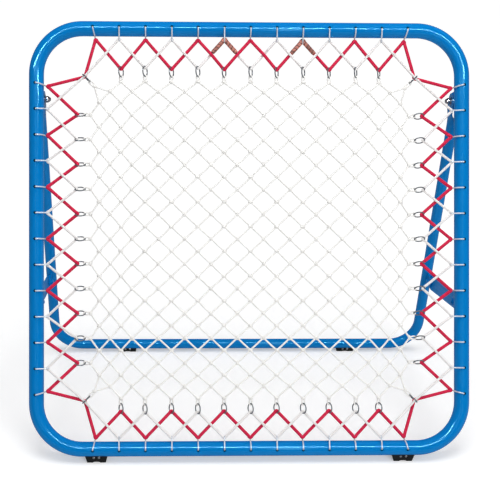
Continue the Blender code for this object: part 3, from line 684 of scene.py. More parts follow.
def turned(name: str, profile: Outline, steps: int, reach: Reach = lambda radius, angle, height: radius) -> Mesh:
    """A solid round local Z from pairs of radius and height.

    Args:
        name: The mesh's name.
        profile: Radius and height from one end to the other, the first and last closed by a cap.
        steps: Points round.
        reach: Gives the real radius from the profile's radius, the angle and the height.

    Returns:
        The new mesh.
    """
    rings = []
    for radius, height in profile:
        ring = []
        for k in range(steps):
            angle = 2 * pi * k / steps
            real = reach(radius, angle, height)
            ring.append(Vector((real * cos(angle), real * sin(angle), height)))
        rings.append(ring)
    return loft(name, rings)


def arc(centre: tuple[float, float], radius: float, start: float, end: float, steps: int) -> Outline:
    """Points along an arc, its ends among them."""
    angles = (start + (end - start) * n / steps for n in range(steps + 1))
    return [(centre[0] + radius * cos(a), centre[1] + radius * sin(a)) for a in angles]


def circle(radius: float, steps: int = 32) -> Outline:
    """Points round a circle."""
    return arc((0.0, 0.0), radius, 0.0, 2 * pi, steps)[:-1]


def plate(name: str, outlines: Sequence[Outline], thickness: float) -> Mesh:
    """Make a flat plate in X and Y, half its thickness to either side.

    Args:
        name: The mesh's name.
        outlines: The edge first, then any holes.
        thickness: The plate's thickness.

    Returns:
        The new mesh.
    """
    curve = bpy.data.curves.new(name, "CURVE")
    curve.dimensions, curve.fill_mode, curve.extrude = "2D", "BOTH", thickness / 2
    for outline in outlines:
        spline = curve.splines.new("POLY")
        spline.points.add(len(outline) - 1)
        for point, place in zip(spline.points, outline):
            point.co = (*place, 0.0, 1.0)
        spline.use_cyclic_u = True
    mesh = settled(bpy.data.objects.new(name, curve))
    bpy.data.curves.remove(curve)
    return outward(mesh, 0.00001)


def settled(guide: Object) -> Mesh:
    """Take the plain mesh of an object as its modifiers leave it, after which the object goes.

    Args:
        guide: The object, which isn't in the scene yet.

    Returns:
        The new mesh.
    """
    bpy.context.scene.collection.objects.link(guide)
    bpy.context.view_layer.update()
    mesh = bpy.data.meshes.new_from_object(guide.evaluated_get(bpy.context.evaluated_depsgraph_get()))
    bpy.data.objects.remove(guide)
    return mesh


def shown(name: str, data: bpy.types.ID) -> Object:
    """Put a new object in the scene.

    Args:
        name: The object's name.
        data: Its mesh, lamp or camera data.

    Returns:
        The object.
    """
    item = bpy.data.objects.new(name, data)
    bpy.context.scene.collection.objects.link(item)
    return item


def carved(mesh: Mesh, cutters: Sequence[Mesh], bevel: float = 0.0) -> Mesh:
    """Cut closed meshes out of a mesh, and round its edges.

    Args:
        mesh: What is cut.
        cutters: What is cut away, in the same place.
        bevel: The width of the rounded edges, or 0 for none.

    Returns:
        The new mesh.
    """
    body = bpy.data.objects.new("blank", mesh)
    tools = [shown("tool", cutter) for cutter in cutters]
    for tool in tools:
        body.modifiers.new("cut", "BOOLEAN").object = tool
    if bevel:
        edge = body.modifiers.new("edge", "BEVEL")
        edge.width, edge.segments, edge.limit_method, edge.angle_limit = bevel, 3, "ANGLE", radians(35)
    result = settled(body)
    for tool in tools:
        bpy.data.objects.remove(tool)
    return result


def moved(mesh: Mesh, matrix: Matrix) -> Mesh:
    """The same mesh, put in its place."""
    mesh.transform(matrix)
    return mesh


def joined(meshes: Sequence[Mesh]) -> Mesh:
    """Join several meshes into one with the first one's material.

    Args:
        meshes: The meshes, which stay as they are.

    Returns:
        The new mesh.
    """
    shape = bmesh.new()
    for mesh in meshes:
        shape.from_mesh(mesh)
    result = meshes[0].copy()
    shape.to_mesh(result)
    shape.free()
    return result


def rounded_bend(before: Vector, here: Vector, after: Vector, reach: float, steps: int = 6) -> list[Vector]:
    """Draw a smooth bend whose top passes through a corner of a route.

    Args:
        before: The corner before this one.
        here: The corner.
        after: The corner after this one.
        reach: How far from the corner the bend starts and ends.
        steps: Parts of the bend.

    Returns:
        The bend's points.
    """
    start = here + (before - here).normalized() * reach
    end = here + (after - here).normalized() * reach
    pull = 2 * here - (start + end) / 2
    shares = [n / steps for n in range(steps + 1)]
    return [start * (1 - t) ** 2 + pull * 2 * t * (1 - t) + end * t * t for t in shares]


def dress(name: str, mesh: Mesh, finish: Material | None, slot: str, body: Body, *nodes: str,
          smooth: float = 35.0) -> None:
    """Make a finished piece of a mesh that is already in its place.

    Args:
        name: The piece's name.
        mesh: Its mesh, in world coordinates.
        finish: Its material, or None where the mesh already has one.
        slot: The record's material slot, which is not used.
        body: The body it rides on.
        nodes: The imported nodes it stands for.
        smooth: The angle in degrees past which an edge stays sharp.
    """
    mesh.name = name
    if finish:
        mesh.materials.clear()
        mesh.materials.append(finish)
    mesh.shade_smooth()
    mesh.set_sharp_from_angle(angle=radians(smooth))
    piece = shown(name, mesh)
    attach(piece, body.value)
    if nodes:
        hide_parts(*nodes)
    mesh.calc_loop_triangles()
    LOG.info("%s: %d triangles on %s", name, len(mesh.loop_triangles), body.value)


# Geometry trees for what repeats


class CopyTrees:
    """Two geometry trees: one bends a wire to a path at every place, the other sets a small form there."""

    def __init__(self) -> None:
        """Build both."""
        self.wires = self._wires()
        self.forms = self._forms()

    @staticmethod
    def _new(name: str, takes: dict[str, str]) -> tuple:
        """Start a tree that gives copies at places, with these inputs between its places and its finish."""
        return new_group(name, "Geometry", {"Places": "Geometry"} | takes | {"Finish": "Material"},
                         {"Copies": "Geometry"})

    @staticmethod
    def _turned_copies(tree: NodeTree, takes: object, gives: object, item: NodeSocket, scale: object) -> NodeTree:
        """Set an item on every point, turned by the point's own angles.

        Args:
            tree: The tree.
            takes: Its inputs by name.
            gives: Its outputs by name.
            item: The geometry that is copied.
            scale: The scale of the copies.

        Returns:
            The finished tree.
        """
        angles = put(tree, "GeometryNodeInputNamedAttribute", {"Name": "turn"}, data_type="FLOAT_VECTOR")
        turn = put(tree, "FunctionNodeEulerToRotation", {0: angles.outputs["Attribute"]})
        copies = put(tree, "GeometryNodeInstanceOnPoints", {
            "Points": takes["Places"], "Instance": item, "Rotation": turn.outputs[0], "Scale": scale})
        plain = put(tree, "GeometryNodeRealizeInstances", {"Geometry": copies.outputs[0]})
        finish = put(tree, "GeometryNodeSetMaterial", {"Geometry": plain.outputs[0], "Material": takes["Finish"]})
        tree.links.new(finish.outputs[0], gives["Copies"])
        return tree

    def _wires(self) -> NodeTree:
        """Build a wire along a path, copied to every place, with its run length kept for the finish.

        Returns:
            The finished tree.
        """
        tree, takes, gives = self._new("bent_wire_copies", {
            "Path": "Object", "Wire Radius": "Float", "Wire Sides": "Int"})
        path = put(tree, "GeometryNodeObjectInfo", {"Object": takes["Path"]})
        line = put(tree, "GeometryNodeMeshToCurve", {0: path.outputs["Geometry"]})
        run = put(tree, "GeometryNodeSplineParameter")
        marked = put(tree, "GeometryNodeStoreNamedAttribute", {
            "Geometry": line.outputs[0], "Name": "run_length", "Value": run.outputs["Length"]},
            data_type="FLOAT", domain="POINT")
        ring = put(tree, "GeometryNodeCurvePrimitiveCircle", {
            "Resolution": takes["Wire Sides"], "Radius": takes["Wire Radius"]})
        wire = put(tree, "GeometryNodeCurveToMesh", {
            "Curve": marked.outputs[0], "Profile Curve": ring.outputs[0], "Fill Caps": True})
        return self._turned_copies(tree, takes, gives, wire.outputs[0], (1.0, 1.0, 1.0))

    def _forms(self) -> NodeTree:
        """Build a small form at every place, in sizes that differ a little.

        Returns:
            The finished tree.
        """
        tree, takes, gives = self._new("small_form_copies", {
            "Form": "Object", "Size": "Float", "Size Spread": "Float", "Seed": "Int"})
        form = put(tree, "GeometryNodeObjectInfo", {"Object": takes["Form"]})
        low, high = [sums(tree, way, takes["Size"], takes["Size Spread"]) for way in ("SUBTRACT", "ADD")]
        size = put(tree, "FunctionNodeRandomValue", {2: low, 3: high, 8: takes["Seed"]}, data_type="FLOAT")
        return self._turned_copies(tree, takes, gives, form.outputs["Geometry"], size.outputs[1])


COPIES = CopyTrees()


def grown(tree: NodeTree, places: Sequence[Matrix], **values: object) -> Mesh:
    """Run a copy tree on a set of places and give the plain mesh.

    Args:
        tree: The geometry tree.
        places: Where each copy goes and how it is turned.
        values: The tree's inputs by name, with _ for a space.

    Returns:
        One mesh that holds every copy.
    """
    carrier = bpy.data.meshes.new("places")
    carrier.from_pydata([place.translation for place in places], [], [])
    turn = carrier.attributes.new("turn", "FLOAT_VECTOR", "POINT")
    for item, place in zip(turn.data, places):
        item.vector = place.to_euler()
    guide = bpy.data.objects.new("places", carrier)
    step = guide.modifiers.new("copies", "NODES")
    step.node_group = tree
    sockets = {item.name: item.identifier for item in tree.interface.items_tree if item.in_out == "INPUT"}
    for key, value in values.items():
        step[sockets[key.replace("_", " ")]] = value
    return outward(settled(guide))


def wires(path: Sequence[Vector], closed: bool, places: Sequence[Matrix], radius: float, sides: int,
          finish: Material) -> Mesh:
    """Bend a wire to a path at each of these places.

    Args:
        path: The points of the wire's centre line.
        closed: Whether the path ends where it starts.
        places: Where each wire goes and how it is turned.
        radius: The wire's radius.
        sides: Faces round the wire.
        finish: Its material.

    Returns:
        One mesh that holds every wire.
    """
    mesh = bpy.data.meshes.new("path")
    edges = [(n, n + 1) for n in range(len(path) - 1)] + ([(len(path) - 1, 0)] if closed else [])
    mesh.from_pydata(list(path), edges, [])
    return grown(COPIES.wires, places, Path=bpy.data.objects.new("path", mesh), Wire_Radius=radius,
                 Wire_Sides=sides, Finish=finish)


def forms(form: Mesh, places: Sequence[Matrix], size: float, spread: float, finish: Material) -> Mesh:
    """Set a small form, in sizes that differ by this spread, at each of these places."""
    return grown(COPIES.forms, places, Form=bpy.data.objects.new("form", form), Size=size, Size_Spread=spread,
                 Seed=SEED, Finish=finish)


# The hoop


@dataclass(frozen=True)
class Hoop:
    """The square hoop of bent tube, and the places that everything in it hangs from."""

    width: float = 1.000
    height: float = 0.983
    incline: float = radians(60.0)
    bend_radius: float = 0.104
    tube_radius: float = 0.01685
    wall: float = 0.002
    rise: float = 0.010
    hooks_each_way: int = 6
    pitch_across: float = 0.0593
    pitch_up: float = 0.0583
    hole_radius: float = 0.0032
    hole_shift: float = 0.0018
    end_hook_lean: float = 0.0059
    ring_insets: tuple[float, float, float, float] = (0.0916, 0.0990, 0.0975, 0.0990)
    ring_bore: float = 0.020
    ring_wire: float = 0.0028
    corner_inset: float = 0.1126
    net_inset: float = 0.1174
    cord_at_hook: float = 0.008
    columns: int = 13
    even_rows: tuple[int, float] = (11, 1.018)
    even_columns: tuple[int, float] = (9, 1.059)
    bend_steps: int = 24
    beside_hole: float = 0.006
    bore_steps: int = 10
    bore_sides: int = 20
    drill_past: float = 0.003
    drill_sides: int = 16

    @property
    def stations(self) -> range:
        """The places of the hooks on a side, counted from its middle."""
        return range(-self.hooks_each_way, self.hooks_each_way + 1)

    @property
    def half_w(self) -> float:
        """Half the width between the side tubes' centre lines."""
        return self.width / 2 - self.tube_radius

    @property
    def half_h(self) -> float:
        """Half the height between the end tubes' centre lines."""
        return self.height / 2 - self.tube_radius

    @property
    def plane(self) -> Matrix:
        """The hoop's own frame: X across, Y up the slope, Z out of its front."""
        centre = (0, 0, self.rise + self.tube_radius + self.half_h * sin(self.incline))
        return at(centre) @ spin(self.incline, "X")

    @property
    def bottom_y(self) -> float:
        """World Y of the bottom tube's centre line."""
        return -self.half_h * cos(self.incline)

    def side_place(self, side: int, along: float = 0.0, inward: float = 0.0) -> Matrix:
        """A place on a side: 0 bottom, 1 right, 2 top, 3 left. Local +Y points into the hoop."""
        half = self.half_w if side % 2 else self.half_h
        return spin(side * pi / 2, "Z") @ at((along, inward - half, 0))

    def corner_place(self, corner: int, outward: float = 0.0) -> Matrix:
        """Find a place at the corner ring after this side.

        Args:
            corner: The corner's number, that of the side before it.
            outward: How far out from the ring's middle it lies.

        Returns:
            The place, whose local +X points out along the diagonal.
        """
        x, y = ((1, -1), (1, 1), (-1, 1), (-1, -1))[corner]
        centre = (x * (self.half_w - self.corner_inset), y * (self.half_h - self.corner_inset), 0)
        return at(centre) @ spin(corner * pi / 2 - pi / 4, "Z") @ at((outward, 0, 0))

    def hook_along(self, side: int, station: int) -> float:
        """How far along its side a hook lies from the middle."""
        return station * (self.pitch_up if side % 2 else self.pitch_across)

    def lean(self, station: int) -> float:
        """How far the held end of a hook is pulled along the tube: only the last hooks of a side lean."""
        return -copysign(self.end_hook_lean, station) if abs(station) == self.hooks_each_way else 0.0

    def net_line(self, index: int, upright: bool) -> float:
        """Find how far a row or column of knots lies from the middle. They are closer at the net's edge.

        Args:
            index: The line's number, counted from the middle.
            upright: Whether it is a row, counted up the slope.

        Returns:
            The distance, with the sign of the number.
        """
        half = (self.half_h if upright else self.half_w) - self.net_inset
        inner, wider = self.even_rows if upright else self.even_columns
        step = half / self.columns * wider
        outer = max(0, abs(index) - inner) * (half - step * inner) / (self.columns - inner)
        return copysign(step * min(abs(index), inner) + outer, index)

    def ring_along(self, side: int, station: int) -> float:
        """How far along its side a ring hangs: in line with its row or column of knots."""
        return self.net_line(2 * station, bool(side % 2))

    def centre_line(self, steps: int, near_hole: float = 0.0) -> list[Vector]:
        """The tube's centre line.

        Args:
            steps: Parts of each bend.
            near_hole: Where above 0, points lie this far before and after each hook's hole, to keep the shading even.

        Returns:
            Its points.
        """
        line = []
        for quarter, (x, y) in enumerate(((1, 1), (-1, 1), (-1, -1), (1, -1))):
            centre = (x * (self.half_w - self.bend_radius), y * (self.half_h - self.bend_radius))
            start = quarter * pi / 2
            line += [Vector((*point, 0)) for point in arc(centre, self.bend_radius, start, start + pi / 2, steps)]
            side = (quarter + 2) % 4
            if near_hole:
                line += [self.side_place(side, self.hook_along(side, station) + way * near_hole).translation
                         for station in self.stations for way in (-1, 1)]
        return line

    def build(self, finishes: Finishes) -> None:
        """Bend the tube, hollow it and drill a hole for each hook.

        Args:
            finishes: Every finish of the rebounder.
        """
        tube = bar("hoop", self.centre_line(self.bend_steps, self.beside_hole), self.tube_radius, LARGE_ROUND, True)
        bore = bar("bore", self.centre_line(self.bore_steps), self.tube_radius - self.wall, self.bore_sides, True)
        drill = Skin()
        ends = [Vector((0, 0, height)) for height in (self.tube_radius / 2, self.tube_radius + self.drill_past)]
        for side in range(4):
            for station in self.stations:
                spot = self.side_place(side, self.hook_along(side, station), -self.hole_shift).translation
                line = [spot + end for end in ends]
                drill.sweep(line, self.hole_radius, self.drill_sides, across=Vector((1, 0, 0)))
        dress("hoop_bent_tube", moved(carved(tube, [bore, drill.mesh("drill")]), self.plane), finishes.tube_paint,
              "blue_paint", Body.FRAME, "main_frame_tube")


# Cords, their hooks and their taped joins


@dataclass(frozen=True)
class Cord:
    """One elastic cord, once round the hoop between its hooks and rings, with its hooks and its taped join."""

    kind: CordKind
    hoop: Hoop
    tape_station: int
    radius: float
    bend_reach: float = 0.0065
    corner_shift: float = 0.0048
    tape_radius: float = 0.005
    tape_arm: float = 0.040
    hook_in_tube: float = 0.008
    hook_lift: float = 0.0004
    hook_end: float = radians(-128.0)
    under_end: float = radians(335.0)
    root: float = 0.0022
    knee: float = radians(84)
    sides: int = 14
    wire_sides: int = 10
    wire_steps: tuple[int, int, int] = (5, 8, 16)
    tape_sides: int = 20
    tape_bend_steps: int = 8
    tape_rings: tuple[float, ...] = (1.0, 0.985, 0.95, 0.85, 0.7, 0.55, 0.4, 0.3)
    tape_end: tuple[float, ...] = (0.80, 0.90, 0.95)
    tape_unevenness: float = 0.03

    def bend(self, side: int, station: int) -> Vector:
        """Find the middle of the cord's bend: out at its own hooks, in at the rings between them.

        Args:
            side: The side of the hoop.
            station: The hook or ring, counted from the side's middle.

        Returns:
            The place in the hoop's plane, without the cord's height over it.
        """
        hoop = self.hoop
        if self.kind.hooked_at(station):
            inward = hoop.tube_radius + hoop.cord_at_hook
            along = hoop.hook_along(side, station) + hoop.lean(station)
            return hoop.side_place(side, along, inward).translation
        inward = hoop.ring_insets[side] - (hoop.ring_bore / 2 - self.radius) + 2 * TOUCH
        return hoop.side_place(side, hoop.ring_along(side, station), inward).translation

    def corners(self) -> list[Vector]:
        """Lay out the corners of the cord's route.

        Returns:
            Each corner at its height over the hoop's plane.
        """
        lift = Vector((0, 0, self.kind.value))
        last = self.hoop.hooks_each_way - (self.kind is CordKind.WHITE)
        route = []
        for side in range(4):
            for station in range(-last, last + 1):
                route.append(self.bend(side, station) + lift)
                if side == 2 and -1 <= station <= 1:
                    middle = (self.bend(side, station) + self.bend(side, station + 1)) / 2
                    route.append(middle + Vector((0, 0, self.kind.other.value)))
            route.append(self.hoop.corner_place(side, self.corner_shift).translation + lift)
        return route

    def route(self) -> list[Vector]:
        """Round the corners of the cord's route.

        Returns:
            The cord's smooth centre line.
        """
        corners = self.corners()
        line = []
        for n, here in enumerate(corners):
            line += rounded_bend(corners[n - 1], here, corners[(n + 1) % len(corners)], self.bend_reach)
        return line

    def hook_path(self, held: float, lean: float, under: bool) -> list[Vector]:
        """A hook: out of its hole, over the tube and round what it holds.

        Args:
            held: The radius of the cord or tape that it holds.
            lean: How far its held end is pulled along the tube.
            under: Whether it dips behind what it holds straight away, and does not cross in front first.

        Returns:
            Its points.
        """
        over = self.hoop.tube_radius + WIRE_RADIUS + self.hook_lift
        hold = held + WIRE_RADIUS
        knee_steps, over_steps, hold_steps = self.wire_steps
        centre = Vector((self.hoop.tube_radius + self.hoop.cord_at_hook, self.kind.value))
        reach = over + hold if under else over - hold
        angle = atan2(centre.y, centre.x) + acos(reach / centre.length)
        path = [(0.0, self.hoop.tube_radius - self.hook_in_tube), (0.0, over - 2 * self.root)]
        meet = (over * cos(self.knee), over * sin(self.knee))
        path += [(meet[0] * t * t, (over - self.root) * (1 - t) ** 2 + over * 2 * t * (1 - t) + meet[1] * t * t)
                 for t in (n / knee_steps for n in range(knee_steps + 1))]
        if angle < self.knee:
            path += arc((0.0, 0.0), over, self.knee, angle, over_steps)[1:]
        start, end = (angle + pi, self.under_end) if under else (angle, self.hook_end)
        path += arc(tuple(centre), hold, start, end, hold_steps)
        return [Vector((lean * max(0.0, min(1.0, y / centre.x)), y, z)) for y, z in path]

    def hook_places(self, lean: float) -> list[Matrix]:
        """Find the hooks of this cord, without the one at its taped join.

        Args:
            lean: How far the held ends of the ones that count are pulled along the tube.

        Returns:
            Their places in the hoop's plane.
        """
        hoop = self.hoop
        return [hoop.side_place(side, hoop.hook_along(side, station)) for side in range(4) for station in hoop.stations
                if self.kind.hooked_at(station) and (side, station) != (2, self.tape_station)
                and hoop.lean(station) == lean]

    def hooks_mesh(self, finish: Material) -> Mesh:
        """Bend all hooks of this cord, without the one at its taped join.

        Args:
            finish: The finish of the wire.

        Returns:
            The new mesh.
        """
        leans = [lean for lean in (0.0, self.hoop.end_hook_lean, -self.hoop.end_hook_lean) if self.hook_places(lean)]
        return joined([wires(self.hook_path(self.radius, lean, self.kind is CordKind.RED), False,
                             self.hook_places(lean), WIRE_RADIUS, self.wire_sides, finish) for lean in leans])

    def tape_mesh(self) -> Mesh:
        """Wind the tape: a sleeve over the cord's bend, thinner and uneven at its ends.

        Returns:
            The new mesh.
        """
        lift = Vector((0, 0, self.kind.value))
        ends = [self.bend(2, self.tape_station + step) + lift for step in (-1, 1)]
        top = self.bend(2, self.tape_station) + lift
        bend = rounded_bend(ends[0], top, ends[1], self.bend_reach, self.tape_bend_steps)
        first = [top + (ends[0] - top).normalized() * self.tape_arm * share for share in self.tape_rings]
        second = [top + (ends[1] - top).normalized() * self.tape_arm * share for share in reversed(self.tape_rings)]
        path = first + bend + second
        wander = random.Random(SEED + self.tape_station)
        between = (1 - self.tape_unevenness + self.tape_unevenness * wander.random()
                   for _ in range(len(path) - 2 * len(self.tape_end)))
        thin = [*self.tape_end, *between, *reversed(self.tape_end)]
        return bar("tape", path, [self.tape_radius * share for share in thin], self.tape_sides)

    def build(self, finishes: Finishes) -> None:
        """Make the cord, its hooks and its tape.

        Args:
            finishes: Every finish of the rebounder.
        """
        word, steel = self.kind.word, finishes.galvanised
        cord = bar("cord", self.route(), self.radius, self.sides, True)
        spot = self.hoop.side_place(2, self.hoop.hook_along(2, self.tape_station))
        hook = wires(self.hook_path(self.tape_radius, 0.0, False), False, [spot], WIRE_RADIUS, self.wire_sides, steel)
        for name, mesh, finish, slot, node in (
                ("elastic_cord", cord, finishes.covers[self.kind], f"{word}_cord", "cord_with_hooks"),
                ("cord_hook_wires", self.hooks_mesh(steel), None, "zinc", "cord_with_hooks"),
                ("join_hook_wire", hook, None, "zinc", "cord_tape"),
                ("join_tape", self.tape_mesh(), finishes.tape, "brown_tape", "cord_tape")):
            dress(f"{word}_{name}", moved(mesh, self.hoop.plane), finish, slot, Body.FRAME, f"{word}_{node}", smooth=60)


# The net


@dataclass(frozen=True)
class Net:
    """The knotted diamond net, with the whipped loops and rings that its edge hangs from."""

    hoop: Hoop
    forward: float = 0.006
    twine_radius: float = 0.0020
    knot_size: float = 0.0053
    loop_reach: float = 0.0230
    corner_loop_reach: float = 0.0262
    loop_half_width: float = 0.0036
    loop_radius: float = 0.0017
    ring_turn: float = radians(65.0)
    jitter: float = 0.0005
    slack: float = 0.0005
    sag: float = 0.8
    strand_steps: int = 5
    shortest_strand: float = 0.004
    size_spread: float = 0.0003
    knot_turn: float = 0.3
    knot_tilt: float = 0.2
    knot_squash: tuple[float, float] = (0.86, 0.72)
    loop_gap: float = 0.0001
    loop_taper: tuple[float, float] = (1.18, 0.62)
    loop_steps: int = 24
    strand_sides: int = 6
    loop_sides: int = 8
    ring_sides: int = 10

    def ring_kind(self, station: int) -> CordKind:
        """The cord that runs through the ring at this station."""
        return CordKind.WHITE if station % 2 == 0 else CordKind.RED

    def ring_places(self) -> list[Matrix]:
        """Find where the side rings hang.

        Returns:
            Their places, not yet turned on their cords.
        """
        last = self.hoop.hooks_each_way - 1
        return [at((0, 0, self.ring_kind(station).value))
                @ self.hoop.side_place(side, self.hoop.ring_along(side, station), self.hoop.ring_insets[side])
                for side in range(4) for station in range(-last, last + 1)]

    def corner_places(self) -> list[Matrix]:
        """Where the corner rings hang: local -X points into the net."""
        return [at((0, 0, self.forward)) @ self.hoop.corner_place(corner) for corner in range(4)]

    def knot(self, i: int, j: int) -> Vector:
        """Find a knot. The ones at the edge end their loops.

        Args:
            i: Its column, counted from one corner.
            j: Its row.

        Returns:
            Its place in the hoop's plane.
        """
        half = self.hoop.columns
        column, row = i - half, j - half
        place = Vector((self.hoop.net_line(column, False), self.hoop.net_line(row, True), self.forward))
        if min(abs(row), abs(column)) == half - 1 and max(abs(row), abs(column)) == half:
            corner = {(True, False): 0, (True, True): 1, (False, True): 2, (False, False): 3}[column > 0, row > 0]
            return self.hoop.corner_place(corner, -self.corner_loop_reach).translation + Vector((0, 0, self.forward))
        if abs(row) == half:
            edge = self.hoop.half_h - self.hoop.ring_insets[2 if row > 0 else 0] - self.loop_reach
            return Vector((place.x, copysign(edge, row), self.ring_kind(column // 2).value))
        if abs(column) == half:
            edge = self.hoop.half_w - self.hoop.ring_insets[1 if column > 0 else 3] - self.loop_reach
            return Vector((copysign(edge, column), place.y, self.ring_kind(row // 2).value))
        stray = random.Random(SEED + 64 * i + j)
        return place + Vector([stray.uniform(-self.jitter, self.jitter) for _ in range(3)])

    def strands(self) -> set[tuple[tuple[int, int], tuple[int, int]]]:
        """List every strand between two knots.

        Returns:
            Pairs of knots, each by its column and row.
        """
        last = 2 * self.hoop.columns
        pairs = set()
        for i in range(1, last):
            for j in range(1, last):
                if (i + j) % 2 == 0:
                    ring = [(i - 1, j), (i, j - 1), (i + 1, j), (i, j + 1)]
                    pairs |= {tuple(sorted((ring[n - 1], ring[n]))) for n in range(4)}
        return pairs

    def strand_mesh(self) -> Mesh:
        """Draw all strands, each a little slack.

        Returns:
            The new mesh.
        """
        skin, steps = Skin(), self.strand_steps
        for first, second in sorted(self.strands()):
            start, end = self.knot(*first), self.knot(*second)
            if (end - start).length < self.shortest_strand:
                continue
            chance = random.Random(SEED + 4096 * first[0] + 64 * first[1] + second[0])
            bow = Vector((chance.uniform(-1, 1), chance.uniform(-1, 1) - self.sag, chance.uniform(-1, 1))) * self.slack
            path = [start.lerp(end, n / steps) + bow * sin(pi * n / steps) for n in range(steps + 1)]
            skin.sweep(path, self.twine_radius, self.strand_sides, start=chance.uniform(0, 0.01))
        return skin.mesh("strands")

    def knot_form(self) -> Mesh:
        """Shape one knot of unit size: two turns of twine crossed over each other and pulled tight.

        Returns:
            The new mesh.
        """
        shape = lump()
        narrow, low = self.knot_squash
        for vertex in shape.verts:
            around = atan2(vertex.co.y, vertex.co.x)
            swell = 1.0 + 0.14 * cos(2 * around + 1.6 * vertex.co.z) + 0.06 * cos(5 * around)
            vertex.co = Vector((vertex.co.x * swell, vertex.co.y * swell * narrow, vertex.co.z * low))
        return finished(shape, "knot")

    def knot_places(self) -> list[Matrix]:
        """Find where the knots lie.

        Returns:
            Their places, each turned by hand-tied chance.
        """
        spots = {}
        for pair in self.strands():
            for index in pair:
                spot = self.knot(*index)
                spots[tuple(round(value, 5) for value in spot)] = (index, spot)
        places = []
        for index, spot in sorted(spots.values(), key=lambda item: item[0]):
            chance = random.Random(SEED + 128 * index[0] + index[1])
            turn = pi / 2 * (index[1] % 2) + chance.uniform(-self.knot_turn, self.knot_turn)
            tilt = chance.uniform(-self.knot_tilt, self.knot_tilt)
            places.append(at(spot) @ spin(turn, "Z") @ spin(tilt, "X"))
        return places

    def loop_path(self, inner: float, reach: float) -> list[Vector]:
        """A whipped loop: round the ring's wire and drawn together at its knot.

        Args:
            inner: How far from the ring's middle the loop passes through it.
            reach: How far from the ring's middle its knot lies.

        Returns:
            Its points.
        """
        path = []
        wide, taper = self.loop_taper
        for n in range(self.loop_steps):
            angle = 2 * pi * n / self.loop_steps
            share = (1 - cos(angle)) / 2
            x = self.loop_half_width * sin(angle) * (wide - taper * share)
            path.append(Vector((x, inner + (reach - inner) * share, 0)))
        return path

    def build(self, finishes: Finishes) -> None:
        """Make strands, knots, loops and rings.

        Args:
            finishes: Every finish of the rebounder.
        """
        hoop, wire, quarter = self.hoop, self.hoop.ring_wire / 2, pi / 2
        inner = hoop.ring_bore / 2 - self.loop_radius - self.loop_gap
        ring = [Vector((*point, 0)) for point in circle(hoop.ring_bore / 2 + wire)]
        knots = forms(self.knot_form(), self.knot_places(), self.knot_size, self.size_spread, finishes.knot)
        pieces = [("strands", self.strand_mesh(), finishes.net_twine, "net_twine", 70),
                  ("knots", knots, None, "net_twine", 80)]
        corners = [place @ spin(quarter, "Z") for place in self.corner_places()]
        for label, reach, places, turn in (("side", self.loop_reach, self.ring_places(), -self.ring_turn),
                                           ("corner", self.corner_loop_reach, corners, quarter)):
            loop, turned_places = self.loop_path(inner, reach), [place @ spin(turn, "Y") for place in places]
            loops = wires(loop, True, places, self.loop_radius, self.loop_sides, finishes.whipping)
            rings = wires(ring, True, turned_places, wire, self.ring_sides, finishes.ring_steel)
            pieces += [(f"{label}_loops", loops, None, "net_twine", 70), (f"{label}_rings", rings, None, "zinc", 70)]
        for name, mesh, finish, slot, smooth in pieces:
            dress(f"net_{name}", moved(mesh, hoop.plane), finish, slot, Body.FRAME, "net_with_rings", smooth=smooth)


# Fasteners, plates and welds


def hexagon_reach(flat: float) -> Reach:
    """Cut a turned surface to a hexagon.

    Args:
        flat: The radius at which its flats lie.

    Returns:
        The reach that turned() takes.
    """
    def reach(radius: float, angle: float, height: float) -> float:
        """The nearer of the turned surface and the hexagon's flat."""
        near = (angle + pi / 6) % (pi / 3) - pi / 6
        return min(radius, flat / cos(near))
    return reach


